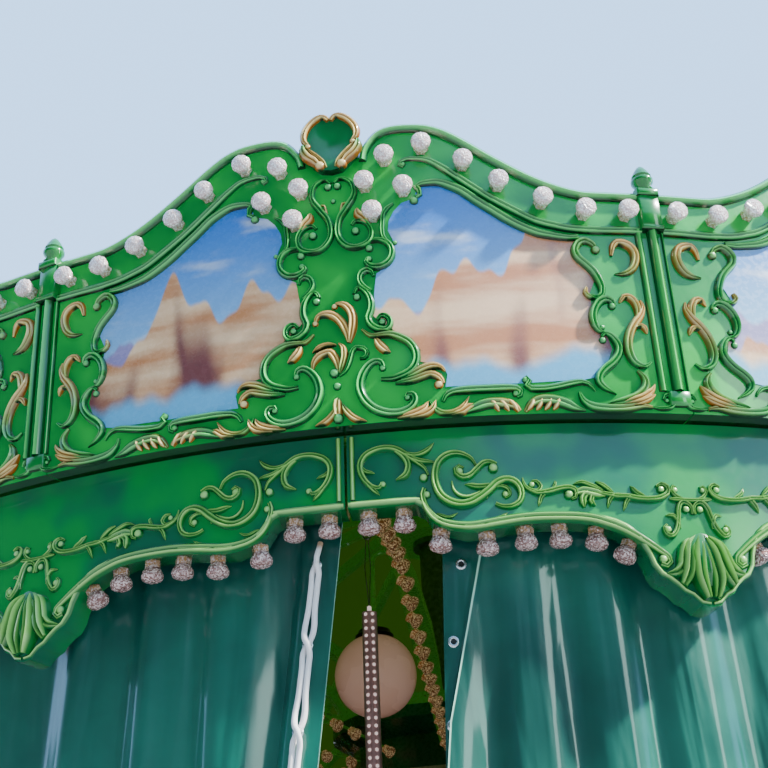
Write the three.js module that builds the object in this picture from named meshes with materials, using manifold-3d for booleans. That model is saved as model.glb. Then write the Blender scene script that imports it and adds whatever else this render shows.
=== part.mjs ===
// Fairground carousel: curved crown and valance panels on a ring, curtains, roof, platform and mast.
// Millimetres, +Z up, origin on the ground at the centre, front bay facing -Y.
import * as THREE from 'three';
import { mergeVertices } from 'three/addons/utils/BufferGeometryUtils.js';
import Module from 'manifold-3d';

// The ring: twelve bays. Arc lengths along it (u) are measured on ARC_RADIUS.
const BAY_COUNT = 12;
const BAY_ANGLE = (2 * Math.PI) / BAY_COUNT;
const ARC_RADIUS = 3700;
const HALF_BAY = (ARC_RADIUS * BAY_ANGLE) / 2;
const SEAT_GAP = 0.3;

// Crown panels: heights are above the crown's foot, CROWN_Z over the ground.
const CROWN_Z = 2950;
const CROWN_RADIUS = 3660;
const CROWN_LEAN = 0.098;
const CROWN_DEPTH = 90;
const CROWN_TOP_DEPTH = 50;
const CROWN_FOOT = -10;
const CROWN_RELIEF = 20;
const CROWN_EDGE_WIDTH = 26;
const EDGE_SLOPE = 10;
// How far a carved piece is let into the board behind it.
const CARVING_ROOT = 15;
const PANEL_JOINT = 3;
// Upper edge of a crown panel from its middle to its end: arc, height.
const CROWN_TOP_EDGE = [
  [0, 846], [92, 852], [104, 926], [142, 994], [212, 1014],
  [300, 1005], [435, 920], [570, 817], [705, 748], [840, 729],
];
const POST_WIDTH = 66;
const POST_RELIEF = 32;
const POST_BLOCK_Z = 600;
const POST_FOOT = 10;
const POST_HEAD_LIFT = 14;
const POST_ROOT = 20;
const POST_STEP = 6;
// Finial on the post: radius, height above the post's head.
const FINIAL_PROFILE = [[0, -20], [26, -20], [26, 20], [18, 34], [32, 52], [26, 84], [0, 112]];
const FINIAL_SIDES = 8;
const FINIAL_SEAT = 4;
// Cartouche on top of each crown panel: its outline from the foot up one side, arc and height.
const CARTOUCHE_OUTLINE = [
  [0, 815], [38, 838], [62, 880], [84, 925], [92, 985], [80, 1040], [45, 1068], [0, 1062],
];
const CARTOUCHE_RELIEF = 45;

// Valance panels hang below the crown, half a bay round from it, each centred on a shell pendant.
const VALANCE_RADIUS = 3600;
const VALANCE_DEPTH = 85;
const VALANCE_JOINT = 8;
const VALANCE_RELIEF = 14;
const VALANCE_BEAD = 24;
// Lower edge of a valance panel from its middle to its end: arc, height.
const VALANCE_LOWER_EDGE = [
  [0, -528], [64, -470], [76, -440], [107, -398], [152, -352], [228, -321], [310, -304],
  [430, -301], [548, -314], [632, -322], [718, -298], [750, -250], [774, -236],
];
const SHELL_RELIEF = 26;
const SHELL_OUTLINE = [
  [0, -537], [34, -512], [72, -478], [78, -455], [45, -425], [38, -375], [0, -352],
];

// Eaves ring, an angle section that carries the panels and the curtains.
const EAVES_INNER = 3440;
const EAVES_WEB_RADIUS = VALANCE_RADIUS - VALANCE_DEPTH - 1;
const EAVES_FLANGE_RADIUS = CROWN_RADIUS - CROWN_DEPTH - 3;
const EAVES_BOTTOM = CROWN_Z - 150;
const EAVES_TOP = CROWN_Z + 40;
const EAVES_SIDES = 36;

// Curtains: pleated sheets under the eaves ring, open at the front.
const CURTAIN_RADIUS = 3477;
const CURTAIN_PLEAT = 22;
const CURTAIN_THICKNESS = 6;
const CURTAIN_HEM_Z = 100;
const CURTAIN_TOP_Z = EAVES_BOTTOM - SEAT_GAP;
const CURTAIN_JOINT = 12;
const PLEAT_COUNT = 9;
const CURTAIN_HEM_STRIP = 100;
// A curtain with a slanting edge is built in three rows, which keeps its twisted faces close to flat.
const SLANTED_ROWS = 3;
const CAP_BOW = 0.2;
// Edges of the open front gap, in degrees round the ring at the top and at the hem.
const GAP_LEFT_TOP = -0.3;
const GAP_LEFT_HEM = -5.3;
const GAP_RIGHT_TOP = 4.2;
const GAP_RIGHT_HEM = 1.9;
const ROPE_RADIUS = 6;
const ROPE_FROM_EDGE = 62;
const ROPE_POINTS = 5;
const ROPE_STEPS = 12;
const ROPE_TOP_Z = CROWN_Z - 285;
const ROPE_BOTTOM_Z = 340;

// Roof: rafters to a hub on the mast, and arches with lamp strings below them.
// Both stop just inside the eaves ring.
const BAR_REACH = 3437;
const RAFTER_INNER = 200;
const RAFTER_WIDTH = 50;
const RAFTER_HEIGHT = 70;
const RAFTER_OUTER = [3500, 2985];
const RAFTER_SLOPE = 0.395;
const HUB_RADIUS = 290;
const HUB_BORE = 111.3;
const HUB_BOTTOM = 4050.3;
const HUB_TOP = 4340;
const ARCH_WIDTH = 50;
const ARCH_HEIGHT = 60;
// Centre line of an arch from the eaves ring to the drum: radius, height above the crown's foot.
const ARCH_LINE = [[BAR_REACH, -60], [2980, 10], [2500, 89], [1845, 192], [1119, 200], [740, 110], [652, -15]];
const ARCH_RING_INNER = 640;
const CANOPY_SIDES = 24;
const CANOPY_THICKNESS = 6;
const CANOPY_OUTER = 3545;
const CANOPY_INNER = 300;
const CANOPY_LIFT = 1.7;
const CAP_OUTER = 360;
const CAP_INNER = 340;
const CAP_TOP = 4510;
// Cap under and over: radius, depth below its top.
const CAP_UNDER = [[0, 15], [190, 95], [CAP_INNER, 186]];
const CAP_OVER = [[CAP_OUTER, 180], [200, 80], [60, 12], [0, 0]];

// Mast, ground frame, platform and centre drum.
const MAST_RADIUS = 110;
const MAST_TOP = 4345;
const COLLAR_RADIUS = 150;
const COLLAR_HEIGHT = 35;
const MAST_FLANGE_RADIUS = 240;
const MAST_FLANGE = 30;
const GROUND_BEAM_HEIGHT = 140;
const GROUND_BEAM_WIDTH = 120;
const GROUND_BEAM_REACH = 2600;
const GROUND_BEAM_COUNT = 6;
const GROUND_HUB_RADIUS = 340;
const DECK_TOP = 300;
const DECK_THICKNESS = 60;
const DECK_INNER = 200;
const DECK_OUTER = 3420;
const DECK_RIM = 40;
const DECK_RIM_BOTTOM = 90;
const DRUM_RADIUS = 560;
const DRUM_WALL = 15;
const DRUM_CORNICE = 680;
const DRUM_TOP = CROWN_Z - 60;
const SKIRTING_WIDTH = 20;
const SKIRTING_HEIGHT = 150;
const SKIRTING_SLOPE = 15;
const CORNICE_DEPTH = 60;
const CORNICE_SLOPE = 70;

// Ride poles and globe lamps, in every second bay.
const LAMP_BAYS = 6;
const POLE_RADIUS = 25;
const POLE_FOOT_RADIUS = 70;
const POLE_AT = { x: -41, y: -2917 };
const POLE_TOP = 2671;
const POLE_FOOT_HEIGHT = 12;
const POLE_FOOT_SLOPE = 6;
const POLE_SIDES = 10;
const POLE_TIP = { width: 8, end: 6, height: 22, slope: 9 };
const GLOBE_RADIUS = 150;
const GLOBE_AT = { x: -93, y: -2428, z: CROWN_Z - 375 };
const GLOBE_STEM = 13;
const GLOBE_FITTER = 62;
const GLOBE_RINGS = [-60, -30, 0, 30, 55];
const GLOBE_SIDES = 12;
const FITTER_LOW = 14;
const FITTER_HIGH = 22;
const FITTER_CROWN = 26;

const wasm = await Module();
wasm.setup();

function paint(color, roughness, metalness = 0) {
  return new THREE.MeshStandardMaterial({ color, roughness, metalness });
}

const crownGreen = paint(0x2a8a4a, 0.25);
const valanceTeal = paint(0x1c8a78, 0.25);
const curtainPvc = paint(0x06635c, 0.3);
const canopyPvc = paint(0x3c6a20, 0.5);
const frameSteel = paint(0x2c5a38, 0.45, 0.2);
const galvanised = paint(0x8f9496, 0.45, 0.9);
const deckWood = paint(0x7c5a3c, 0.7);
const drumPaint = paint(0x1f7a52, 0.35);
const brass = paint(0x6e3b2c, 0.25, 1);
const opalGlass = paint(0xe8d2c4, 0.35);
const whiteCord = paint(0xf2f2ee, 0.8);

// Height on a half outline at distance u from its middle.
function edgeHeight(outline, u) {
  const distance = Math.abs(u);
  const next = outline.findIndex(([at]) => at >= distance);
  if (next < 0) return outline[outline.length - 1][1];
  if (next === 0) return outline[0][1];
  const [u0, v0] = outline[next - 1];
  const [u1, v1] = outline[next];
  return v0 + ((v1 - v0) * (distance - u0)) / (u1 - u0);
}

function onRing(azimuth, radius, z) {
  return new THREE.Vector3(radius * Math.sin(azimuth), -radius * Math.cos(azimuth), z);
}

// Makes a closed geometry of merged vertices whose faces point out.
function closedSolid(geometry) {
  const bare = geometry.clone();
  bare.deleteAttribute('normal');
  bare.deleteAttribute('uv');
  const merged = mergeVertices(bare, 1e-3);
  const position = merged.getAttribute('position');
  const kept = [];
  let volume = 0;
  const a = new THREE.Vector3();
  const b = new THREE.Vector3();
  const c = new THREE.Vector3();
  for (let i = 0; i < merged.index.count; i += 3) {
    const corners = [merged.index.getX(i), merged.index.getX(i + 1), merged.index.getX(i + 2)];
    if (new Set(corners).size < 3) continue;
    kept.push(...corners);
    a.fromBufferAttribute(position, corners[0]);
    b.fromBufferAttribute(position, corners[1]);
    c.fromBufferAttribute(position, corners[2]);
    volume += a.dot(b.cross(c));
  }
  if (volume < 0) kept.reverse();
  merged.setIndex(kept);
  return merged;
}

function toManifold(geometry) {
  const solid = closedSolid(geometry);
  return new wasm.Manifold(new wasm.Mesh({
    numProp: 3,
    vertProperties: new Float32Array(solid.getAttribute('position').array),
    triVerts: new Uint32Array(solid.index.array),
  }));
}

// Joins overlapping geometries into one body.
function join(geometries) {
  let whole = toManifold(geometries[0]);
  for (const geometry of geometries.slice(1)) whole = whole.add(toManifold(geometry));
  const mesh = whole.getMesh();
  const joined = new THREE.BufferGeometry();
  joined.setAttribute('position', new THREE.BufferAttribute(new Float32Array(mesh.vertProperties), 3));
  joined.setIndex(Array.from(mesh.triVerts));
  return joined;
}

// Skins a run of equal sections and closes both ends; flat is the section drawn in a plane.
function loft(sections, flat) {
  const count = flat.length;
  const positions = sections.flat().flatMap((p) => [p.x, p.y, p.z]);
  const index = [];
  for (let i = 0; i + 1 < sections.length; i += 1) {
    for (let j = 0; j < count; j += 1) {
      const here = i * count + j;
      const along = i * count + ((j + 1) % count);
      index.push(here, along, along + count, here, along + count, here + count);
    }
  }
  const outline = flat.map(([x, y]) => new THREE.Vector2(x, y));
  const clockwise = THREE.ShapeUtils.isClockWise(outline);
  const last = (sections.length - 1) * count;
  for (const [a, b, c] of THREE.ShapeUtils.triangulateShape(outline, [])) {
    const [second, third] = clockwise ? [c, b] : [b, c];
    index.push(a, third, second, last + a, last + second, last + third);
  }
  const geometry = new THREE.BufferGeometry();
  geometry.setAttribute('position', new THREE.BufferAttribute(new Float32Array(positions), 3));
  geometry.setIndex(index);
  return closedSolid(geometry);
}

// Turns a profile of [radius, height] pairs about the Z axis; closed profiles join their ends.
function turned(profile, sides, closed = true) {
  const points = profile.map(([r, z]) => new THREE.Vector2(r, z));
  if (closed) points.push(points[0].clone());
  const lathe = new THREE.LatheGeometry(points, sides);
  lathe.rotateX(Math.PI / 2);
  return closedSolid(lathe);
}

function block(sizeX, sizeY, sizeZ, x, y, z) {
  const box = new THREE.BoxGeometry(sizeX, sizeY, sizeZ);
  box.translate(x, y, z);
  return box;
}

function spun(geometry, angle) {
  return geometry.clone().rotateZ(angle);
}

// A flat ornament: an outline mirrored about its middle, pushed out from a leaning face.
function ornament(halfOutline, radiusAt, relief, sunk) {
  const mirrored = halfOutline.slice(1, -1).reverse().map(([u, v]) => [-u, v]);
  const outline = halfOutline.concat(mirrored);
  const layer = (offset) => outline.map(([u, v]) => onRing(u / ARC_RADIUS, radiusAt(v) + offset, CROWN_Z + v));
  return loft([layer(-sunk), layer(relief)], outline);
}

// Crown panel: a leaning box of moulded glass fibre with a raised edge, its post at one end.
function crownSection(u) {
  const top = edgeHeight(CROWN_TOP_EDGE, u);
  return [
    [-CROWN_DEPTH, CROWN_FOOT],
    [CROWN_RELIEF, CROWN_FOOT],
    [0, CROWN_EDGE_WIDTH],
    [0, top - CROWN_EDGE_WIDTH - EDGE_SLOPE],
    [CROWN_RELIEF, top - CROWN_EDGE_WIDTH],
    [CROWN_RELIEF, top],
    [-CROWN_TOP_DEPTH, top],
  ];
}

function crownPoint(u, depth, v) {
  return onRing(u / ARC_RADIUS, CROWN_RADIUS + CROWN_LEAN * v + depth, CROWN_Z + v);
}

function crownPost(middle) {
  const half = POST_WIDTH / 2;
  const shaftTop = edgeHeight(CROWN_TOP_EDGE, HALF_BAY);
  const shaft = [
    [middle - half, POST_FOOT], [middle + half, POST_FOOT],
    [middle + half, POST_BLOCK_Z], [middle - half, POST_BLOCK_Z],
  ];
  const cap = [
    [middle - half, POST_BLOCK_Z], [middle + half, POST_BLOCK_Z],
    [middle + half, shaftTop + POST_HEAD_LIFT], [middle - half, shaftTop + POST_HEAD_LIFT],
  ];
  const slab = (outline, relief) => loft([
    outline.map(([u, v]) => crownPoint(u, -POST_ROOT, v)),
    outline.map(([u, v]) => crownPoint(u, relief, v)),
  ], outline);
  const finial = turned(FINIAL_PROFILE, FINIAL_SIDES, false);
  const seat = crownPoint(middle, FINIAL_SEAT, shaftTop);
  finial.translate(seat.x, seat.y, seat.z);
  return [slab(shaft, POST_RELIEF - POST_STEP), slab(cap, POST_RELIEF), finial];
}

function crownPanel() {
  const postEnd = HALF_BAY + POST_WIDTH / 2 + PANEL_JOINT;
  const farEnd = postEnd - 2 * HALF_BAY + PANEL_JOINT;
  const shape = CROWN_TOP_EDGE.map(([u]) => u);
  const stations = [farEnd, ...shape.slice(1).reverse().map((u) => -u), ...shape, postEnd];
  const sections = stations.map((u) => crownSection(u).map(([depth, v]) => crownPoint(u, depth, v)));
  const body = loft(sections, crownSection(0));
  const faceRadius = (v) => CROWN_RADIUS + CROWN_LEAN * v;
  const cartouche = ornament(CARTOUCHE_OUTLINE, faceRadius, CARTOUCHE_RELIEF, CARVING_ROOT);
  return join([body, cartouche, ...crownPost(HALF_BAY)]);
}

// Valance panel: a hollow-looking box with a beaded lower edge, here as its outer form.
function valanceSection(u) {
  const low = edgeHeight(VALANCE_LOWER_EDGE, u);
  return [
    [-VALANCE_DEPTH, CROWN_FOOT - SEAT_GAP],
    [0, CROWN_FOOT - SEAT_GAP],
    [0, low + VALANCE_BEAD + EDGE_SLOPE],
    [VALANCE_RELIEF, low + VALANCE_BEAD],
    [VALANCE_RELIEF, low],
    [-VALANCE_DEPTH, low],
  ];
}

function valancePanel() {
  const end = HALF_BAY - VALANCE_JOINT / 2;
  const half = VALANCE_LOWER_EDGE.map(([u]) => u);
  const stations = [-end, ...half.slice(1).reverse().map((u) => -u), ...half, end];
  const point = (u, [depth, v]) => onRing(u / ARC_RADIUS, VALANCE_RADIUS + depth, CROWN_Z + v);
  const sections = stations.map((u) => valanceSection(u).map((p) => point(u, p)));
  const body = loft(sections, valanceSection(0));
  const shell = ornament(SHELL_OUTLINE, () => VALANCE_RADIUS, SHELL_RELIEF, CARVING_ROOT);
  return join([body, shell]);
}

// Curtain between two edges; each edge is [azimuth at the top, azimuth at the hem].
function curtain(from, to) {
  const strip = CURTAIN_HEM_STRIP / CURTAIN_RADIUS;
  const places = [[from[0], from[1], 1]];
  for (let i = 0; i <= PLEAT_COUNT; i += 1) {
    const share = i / PLEAT_COUNT;
    const top = from[0] + strip + (to[0] - from[0] - 2 * strip) * share;
    const hem = from[1] + strip + (to[1] - from[1] - 2 * strip) * share;
    places.push([top, hem, i % 2 === 0 ? 1 : -1]);
  }
  places[places.length - 1][2] = 1;
  places.push([to[0], to[1], 1]);
  const half = CURTAIN_THICKNESS / 2;
  const rows = from[0] === from[1] && to[0] === to[1] ? 1 : SLANTED_ROWS;
  const climb = Array.from({ length: rows + 1 }, (_, i) => i / rows);
  const outline = [...climb.map((share) => [1, share]), ...climb.toReversed().map((share) => [-1, share])];
  const sections = places.map(([top, hem, side]) => outline.map(([face, share]) => onRing(
    hem + (top - hem) * share,
    CURTAIN_RADIUS + side * CURTAIN_PLEAT + face * half,
    CURTAIN_HEM_Z + (CURTAIN_TOP_Z - CURTAIN_HEM_Z) * share,
  )));
  // Bowed sides keep the points that stand in line as corners of the end faces.
  return loft(sections, outline.map(([face, share]) => [face * (1 + CAP_BOW * share * (1 - share)), share]));
}

function lacingRope() {
  const offset = ROPE_FROM_EDGE / CURTAIN_RADIUS;
  const edgeAt = (z) => {
    const share = (CURTAIN_TOP_Z - z) / (CURTAIN_TOP_Z - CURTAIN_HEM_Z);
    return THREE.MathUtils.degToRad(GAP_LEFT_TOP + (GAP_LEFT_HEM - GAP_LEFT_TOP) * share) - offset;
  };
  const face = CURTAIN_RADIUS + CURTAIN_PLEAT + CURTAIN_THICKNESS / 2;
  const radius = face + ROPE_RADIUS + SEAT_GAP;
  const rise = (ROPE_TOP_Z - ROPE_BOTTOM_Z) / (ROPE_POINTS - 1);
  const levels = Array.from({ length: ROPE_POINTS }, (_, i) => ROPE_BOTTOM_Z + i * rise);
  const path = new THREE.CatmullRomCurve3(levels.map((z) => onRing(edgeAt(z), radius, z)));
  const section = new THREE.Shape();
  section.absarc(0, 0, ROPE_RADIUS, 0, 2 * Math.PI);
  const options = { steps: ROPE_STEPS, curveSegments: 4, extrudePath: path };
  return closedSolid(new THREE.ExtrudeGeometry(section, options));
}

function rafterTop(radius) {
  const lift = (RAFTER_HEIGHT / 2) * Math.hypot(1, RAFTER_SLOPE);
  return RAFTER_OUTER[1] + RAFTER_SLOPE * (RAFTER_OUTER[0] - radius) + lift;
}

// A bar in the radial plane along a line of [radius, height] points.
function radialBar(line, width, height) {
  const [w, h] = [width / 2, height / 2];
  const section = [[-w, -h], [w, -h], [w, h], [-w, h]];
  const sections = line.map(([radius, z]) => section.map(([x, up]) => new THREE.Vector3(x, -radius, z + up)));
  return loft(sections, section);
}

// The ring that carries the crown, the valance and the curtains.
function eavesRing() {
  return turned([
    [EAVES_INNER, EAVES_BOTTOM], [EAVES_WEB_RADIUS, EAVES_BOTTOM],
    [EAVES_WEB_RADIUS, CROWN_Z + CROWN_FOOT], [EAVES_FLANGE_RADIUS, CROWN_Z + CROWN_FOOT],
    [EAVES_FLANGE_RADIUS, EAVES_TOP], [EAVES_INNER, EAVES_TOP],
  ], EAVES_SIDES);
}

// Sloping rafters under the canopy, welded into a hub that turns on the mast.
function rafterFrame() {
  const hub = turned([
    [HUB_BORE, HUB_BOTTOM], [HUB_RADIUS, HUB_BOTTOM], [HUB_RADIUS, HUB_TOP], [HUB_BORE, HUB_TOP],
  ], CANOPY_SIDES);
  const rise = RAFTER_HEIGHT * Math.hypot(1, RAFTER_SLOPE);
  const ends = [BAR_REACH, RAFTER_INNER].map((radius) => [radius, rafterTop(radius) - rise / 2]);
  return wheel(hub, radialBar(ends, RAFTER_WIDTH, rise));
}

// Curved ceiling bars from the eaves to a ring on the centre drum.
function ceilingArches() {
  const foot = DRUM_TOP + SEAT_GAP;
  const ring = turned([
    [ARCH_RING_INNER, foot], [DRUM_CORNICE, foot],
    [DRUM_CORNICE, foot + ARCH_HEIGHT], [ARCH_RING_INNER, foot + ARCH_HEIGHT],
  ], CANOPY_SIDES);
  const line = ARCH_LINE.map(([radius, v]) => [radius, CROWN_Z + v]);
  return wheel(ring, radialBar(line, ARCH_WIDTH, ARCH_HEIGHT));
}

function wheel(middle, bar) {
  const parts = [middle];
  for (let bay = 0; bay < BAY_COUNT; bay += 1) parts.push(spun(bar, bay * BAY_ANGLE));
  return join(parts);
}

function canopy() {
  const thick = CANOPY_THICKNESS * Math.hypot(1, RAFTER_SLOPE);
  const low = (radius) => rafterTop(radius) + CANOPY_LIFT;
  return turned([
    [CANOPY_OUTER, low(CANOPY_OUTER)], [CANOPY_OUTER, low(CANOPY_OUTER) + thick],
    [CANOPY_INNER, low(CANOPY_INNER) + thick], [CANOPY_INNER, low(CANOPY_INNER)],
  ], CANOPY_SIDES);
}

function roofCap() {
  const thick = CANOPY_THICKNESS * Math.hypot(1, RAFTER_SLOPE);
  const seat = (radius) => rafterTop(radius) + CANOPY_LIFT + thick + SEAT_GAP;
  const belowTop = ([radius, depth]) => [radius, CAP_TOP - depth];
  return turned([
    ...CAP_UNDER.map(belowTop), [CAP_INNER, seat(CAP_INNER)],
    [CAP_OUTER, seat(CAP_OUTER)], ...CAP_OVER.map(belowTop),
  ], CANOPY_SIDES, false);
}

function centreMast() {
  const foot = GROUND_BEAM_HEIGHT + SEAT_GAP;
  const collarTop = HUB_BOTTOM - SEAT_GAP;
  return turned([
    [0, foot], [MAST_FLANGE_RADIUS, foot], [MAST_FLANGE_RADIUS, foot + MAST_FLANGE],
    [MAST_RADIUS, foot + MAST_FLANGE], [MAST_RADIUS, collarTop - COLLAR_HEIGHT],
    [COLLAR_RADIUS, collarTop - COLLAR_HEIGHT], [COLLAR_RADIUS, collarTop],
    [MAST_RADIUS, collarTop], [MAST_RADIUS, MAST_TOP], [0, MAST_TOP],
  ], CANOPY_SIDES, false);
}

function groundFrame() {
  const hub = turned([
    [0, 0], [GROUND_HUB_RADIUS, 0], [GROUND_HUB_RADIUS, GROUND_BEAM_HEIGHT], [0, GROUND_BEAM_HEIGHT],
  ], CANOPY_SIDES, false);
  const beam = block(
    GROUND_BEAM_WIDTH, GROUND_BEAM_REACH, GROUND_BEAM_HEIGHT,
    0, -GROUND_BEAM_REACH / 2, GROUND_BEAM_HEIGHT / 2,
  );
  const parts = [hub];
  for (let i = 0; i < GROUND_BEAM_COUNT; i += 1) parts.push(spun(beam, (i * 2 * Math.PI) / GROUND_BEAM_COUNT));
  return join(parts);
}

function platformDeck() {
  const under = DECK_TOP - DECK_THICKNESS;
  const edge = DECK_OUTER - DECK_RIM - SEAT_GAP;
  return turned([[DECK_INNER, under], [edge, under], [edge, DECK_TOP], [DECK_INNER, DECK_TOP]], EAVES_SIDES);
}

function deckFascia() {
  return turned([
    [DECK_OUTER - DECK_RIM, DECK_RIM_BOTTOM], [DECK_OUTER, DECK_RIM_BOTTOM],
    [DECK_OUTER, DECK_TOP], [DECK_OUTER - DECK_RIM, DECK_TOP],
  ], EAVES_SIDES);
}

function centreDrum() {
  const foot = DECK_TOP + SEAT_GAP;
  const top = DRUM_TOP - SEAT_GAP;
  const inner = DRUM_RADIUS - DRUM_WALL;
  const skirting = DRUM_RADIUS + SKIRTING_WIDTH;
  return turned([
    [inner, foot], [skirting, foot], [skirting, foot + SKIRTING_HEIGHT],
    [DRUM_RADIUS, foot + SKIRTING_HEIGHT + SKIRTING_SLOPE], [DRUM_RADIUS, top - CORNICE_DEPTH - CORNICE_SLOPE],
    [DRUM_CORNICE, top - CORNICE_DEPTH], [DRUM_CORNICE, top], [inner, top],
  ], CANOPY_SIDES);
}

function ridePole() {
  const foot = DECK_TOP + SEAT_GAP;
  const pole = turned([
    [0, foot], [POLE_FOOT_RADIUS, foot], [POLE_FOOT_RADIUS, foot + POLE_FOOT_HEIGHT],
    [POLE_RADIUS, foot + POLE_FOOT_HEIGHT + POLE_FOOT_SLOPE],
    [POLE_RADIUS, POLE_TOP - POLE_TIP.height - POLE_TIP.slope],
    [POLE_TIP.width, POLE_TOP - POLE_TIP.height], [POLE_TIP.end, POLE_TOP], [0, POLE_TOP],
  ], POLE_SIDES, false);
  pole.translate(POLE_AT.x, POLE_AT.y, 0);
  return pole;
}

// Opal globe with a dark fitter and a bent stem to the side of the arch above it.
function globeLamp() {
  const profile = [[0, -GLOBE_RADIUS]];
  for (const degrees of GLOBE_RINGS) {
    const angle = THREE.MathUtils.degToRad(degrees);
    profile.push([GLOBE_RADIUS * Math.cos(angle), GLOBE_RADIUS * Math.sin(angle)]);
  }
  profile.push(
    [GLOBE_FITTER, GLOBE_RADIUS - FITTER_LOW], [GLOBE_FITTER, GLOBE_RADIUS + FITTER_HIGH],
    [0, GLOBE_RADIUS + FITTER_CROWN],
  );
  const globe = turned(profile, GLOBE_SIDES, false);
  globe.translate(GLOBE_AT.x, GLOBE_AT.y, GLOBE_AT.z);
  const armZ = CROWN_Z + edgeHeight([...ARCH_LINE].reverse(), -GLOBE_AT.y);
  const bottom = GLOBE_AT.z + GLOBE_RADIUS;
  const stem = block(
    2 * GLOBE_STEM, 2 * GLOBE_STEM, armZ + GLOBE_STEM - bottom,
    GLOBE_AT.x, GLOBE_AT.y, (bottom + armZ + GLOBE_STEM) / 2,
  );
  const reach = -ARCH_WIDTH / 2 - SEAT_GAP - GLOBE_AT.x;
  const arm = block(reach, 2 * GLOBE_STEM, 2 * GLOBE_STEM, GLOBE_AT.x + reach / 2, GLOBE_AT.y, armZ);
  return join([globe, stem, arm]);
}

const carousel = new THREE.Group();

function add(name, geometry, material, angle = 0) {
  const mesh = new THREE.Mesh(geometry, material);
  mesh.name = name;
  mesh.rotation.z = angle;
  carousel.add(mesh);
}

function numbered(name, index) {
  return `${name}_${String(index + 1).padStart(2, '0')}`;
}

add('ground_frame', groundFrame(), galvanised);
add('centre_mast', centreMast(), galvanised);
add('platform_deck', platformDeck(), deckWood);
add('deck_fascia', deckFascia(), deckWood);
add('centre_drum', centreDrum(), drumPaint);
add('eaves_ring', eavesRing(), frameSteel);
add('rafter_frame', rafterFrame(), frameSteel);
add('ceiling_arches', ceilingArches(), frameSteel);
add('canopy', canopy(), canopyPvc);
add('roof_cap', roofCap(), frameSteel);

const crown = crownPanel();
const valance = valancePanel();
const curtainEnd = (CURTAIN_JOINT / 2) / CURTAIN_RADIUS;
const radians = THREE.MathUtils.degToRad;
for (let bay = 0; bay < BAY_COUNT; bay += 1) {
  const turn = bay * BAY_ANGLE;
  add(numbered('crown_panel', bay), crown, crownGreen, turn);
  add(numbered('valance_panel', bay), valance, valanceTeal, turn + BAY_ANGLE / 2);
  const from = [curtainEnd, curtainEnd];
  const to = [BAY_ANGLE - curtainEnd, BAY_ANGLE - curtainEnd];
  if (bay === 0) from.splice(0, 2, radians(GAP_RIGHT_TOP), radians(GAP_RIGHT_HEM));
  if (bay === BAY_COUNT - 1) to.splice(0, 2, ...[GAP_LEFT_TOP, GAP_LEFT_HEM].map((at) => BAY_ANGLE + radians(at)));
  add(numbered('curtain', bay), curtain(from, to), curtainPvc, turn);
}

const pole = ridePole();
const lamp = globeLamp();
for (let i = 0; i < LAMP_BAYS; i += 1) {
  const turn = (i * 2 * Math.PI) / LAMP_BAYS;
  add(numbered('ride_pole', i), pole, brass, turn);
  add(numbered('globe_lamp', i), lamp, opalGlass, turn);
}
add('lacing_rope', lacingRope(), whiteCord);

export default carousel;
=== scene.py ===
# A fairground carousel, seen from below at the joint between two of its twelve bays.
# The frame is loaded first; every piece below is made at its own place, in metres.
import functools
import math

import bpy
import numpy as np
from mathutils import Matrix, Vector, geometry


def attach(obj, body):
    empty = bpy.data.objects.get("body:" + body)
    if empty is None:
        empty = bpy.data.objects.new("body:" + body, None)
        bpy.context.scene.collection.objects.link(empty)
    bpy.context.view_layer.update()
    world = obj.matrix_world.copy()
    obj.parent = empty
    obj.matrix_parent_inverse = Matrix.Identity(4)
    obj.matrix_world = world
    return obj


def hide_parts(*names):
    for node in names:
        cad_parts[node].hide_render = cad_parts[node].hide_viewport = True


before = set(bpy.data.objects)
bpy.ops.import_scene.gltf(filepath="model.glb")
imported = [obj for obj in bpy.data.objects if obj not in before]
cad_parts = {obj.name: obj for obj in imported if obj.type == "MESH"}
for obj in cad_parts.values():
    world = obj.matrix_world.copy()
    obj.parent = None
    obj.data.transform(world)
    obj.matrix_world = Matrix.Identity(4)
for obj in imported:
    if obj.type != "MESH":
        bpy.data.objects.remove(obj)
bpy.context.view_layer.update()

# Camera, floor and light
# The eye stands 6.1 m from the centre at head height and looks up at the crown, as in the photograph.
# A pale matt floor, a bright sky that is dimmed low in front, and a lamp high on the right.
EYE_AZIMUTH = math.radians(3.776)
EYE_DISTANCE = 6.0988
EYE_HEIGHT = 1.5825
LOOK_YAW = math.radians(-6.498)
LOOK_PITCH = math.radians(31.222)
LOOK_ROLL = math.radians(-2.557)
LENS_MM = 47.04
SENSOR_MM = 36.0
CLIP_END = 200.0
FLOOR_HALF = 60.0


def placed(name, data):
    """An object for a mesh, a camera or a light, put into the scene."""
    made = bpy.data.objects.new(name, data)
    bpy.context.collection.objects.link(made)
    return made


camera_data = bpy.data.cameras.new("camera")
camera_data.lens = LENS_MM
camera_data.sensor_width = SENSOR_MM
camera_data.clip_end = CLIP_END
camera = placed("camera", camera_data)
look = Vector((
    math.sin(LOOK_YAW) * math.cos(LOOK_PITCH),
    math.cos(LOOK_YAW) * math.cos(LOOK_PITCH),
    math.sin(LOOK_PITCH),
))
level = Vector((math.cos(LOOK_YAW), -math.sin(LOOK_YAW), 0.0))
upward = level.cross(look)
across = level * math.cos(LOOK_ROLL) + upward * math.sin(LOOK_ROLL)
upright = upward * math.cos(LOOK_ROLL) - level * math.sin(LOOK_ROLL)
eye = Vector((
    EYE_DISTANCE * math.sin(EYE_AZIMUTH),
    -EYE_DISTANCE * math.cos(EYE_AZIMUTH),
    EYE_HEIGHT,
))
camera.matrix_world = Matrix.Translation(eye) @ Matrix((across, upright, -look)).transposed().to_4x4()
bpy.context.scene.camera = camera

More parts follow.
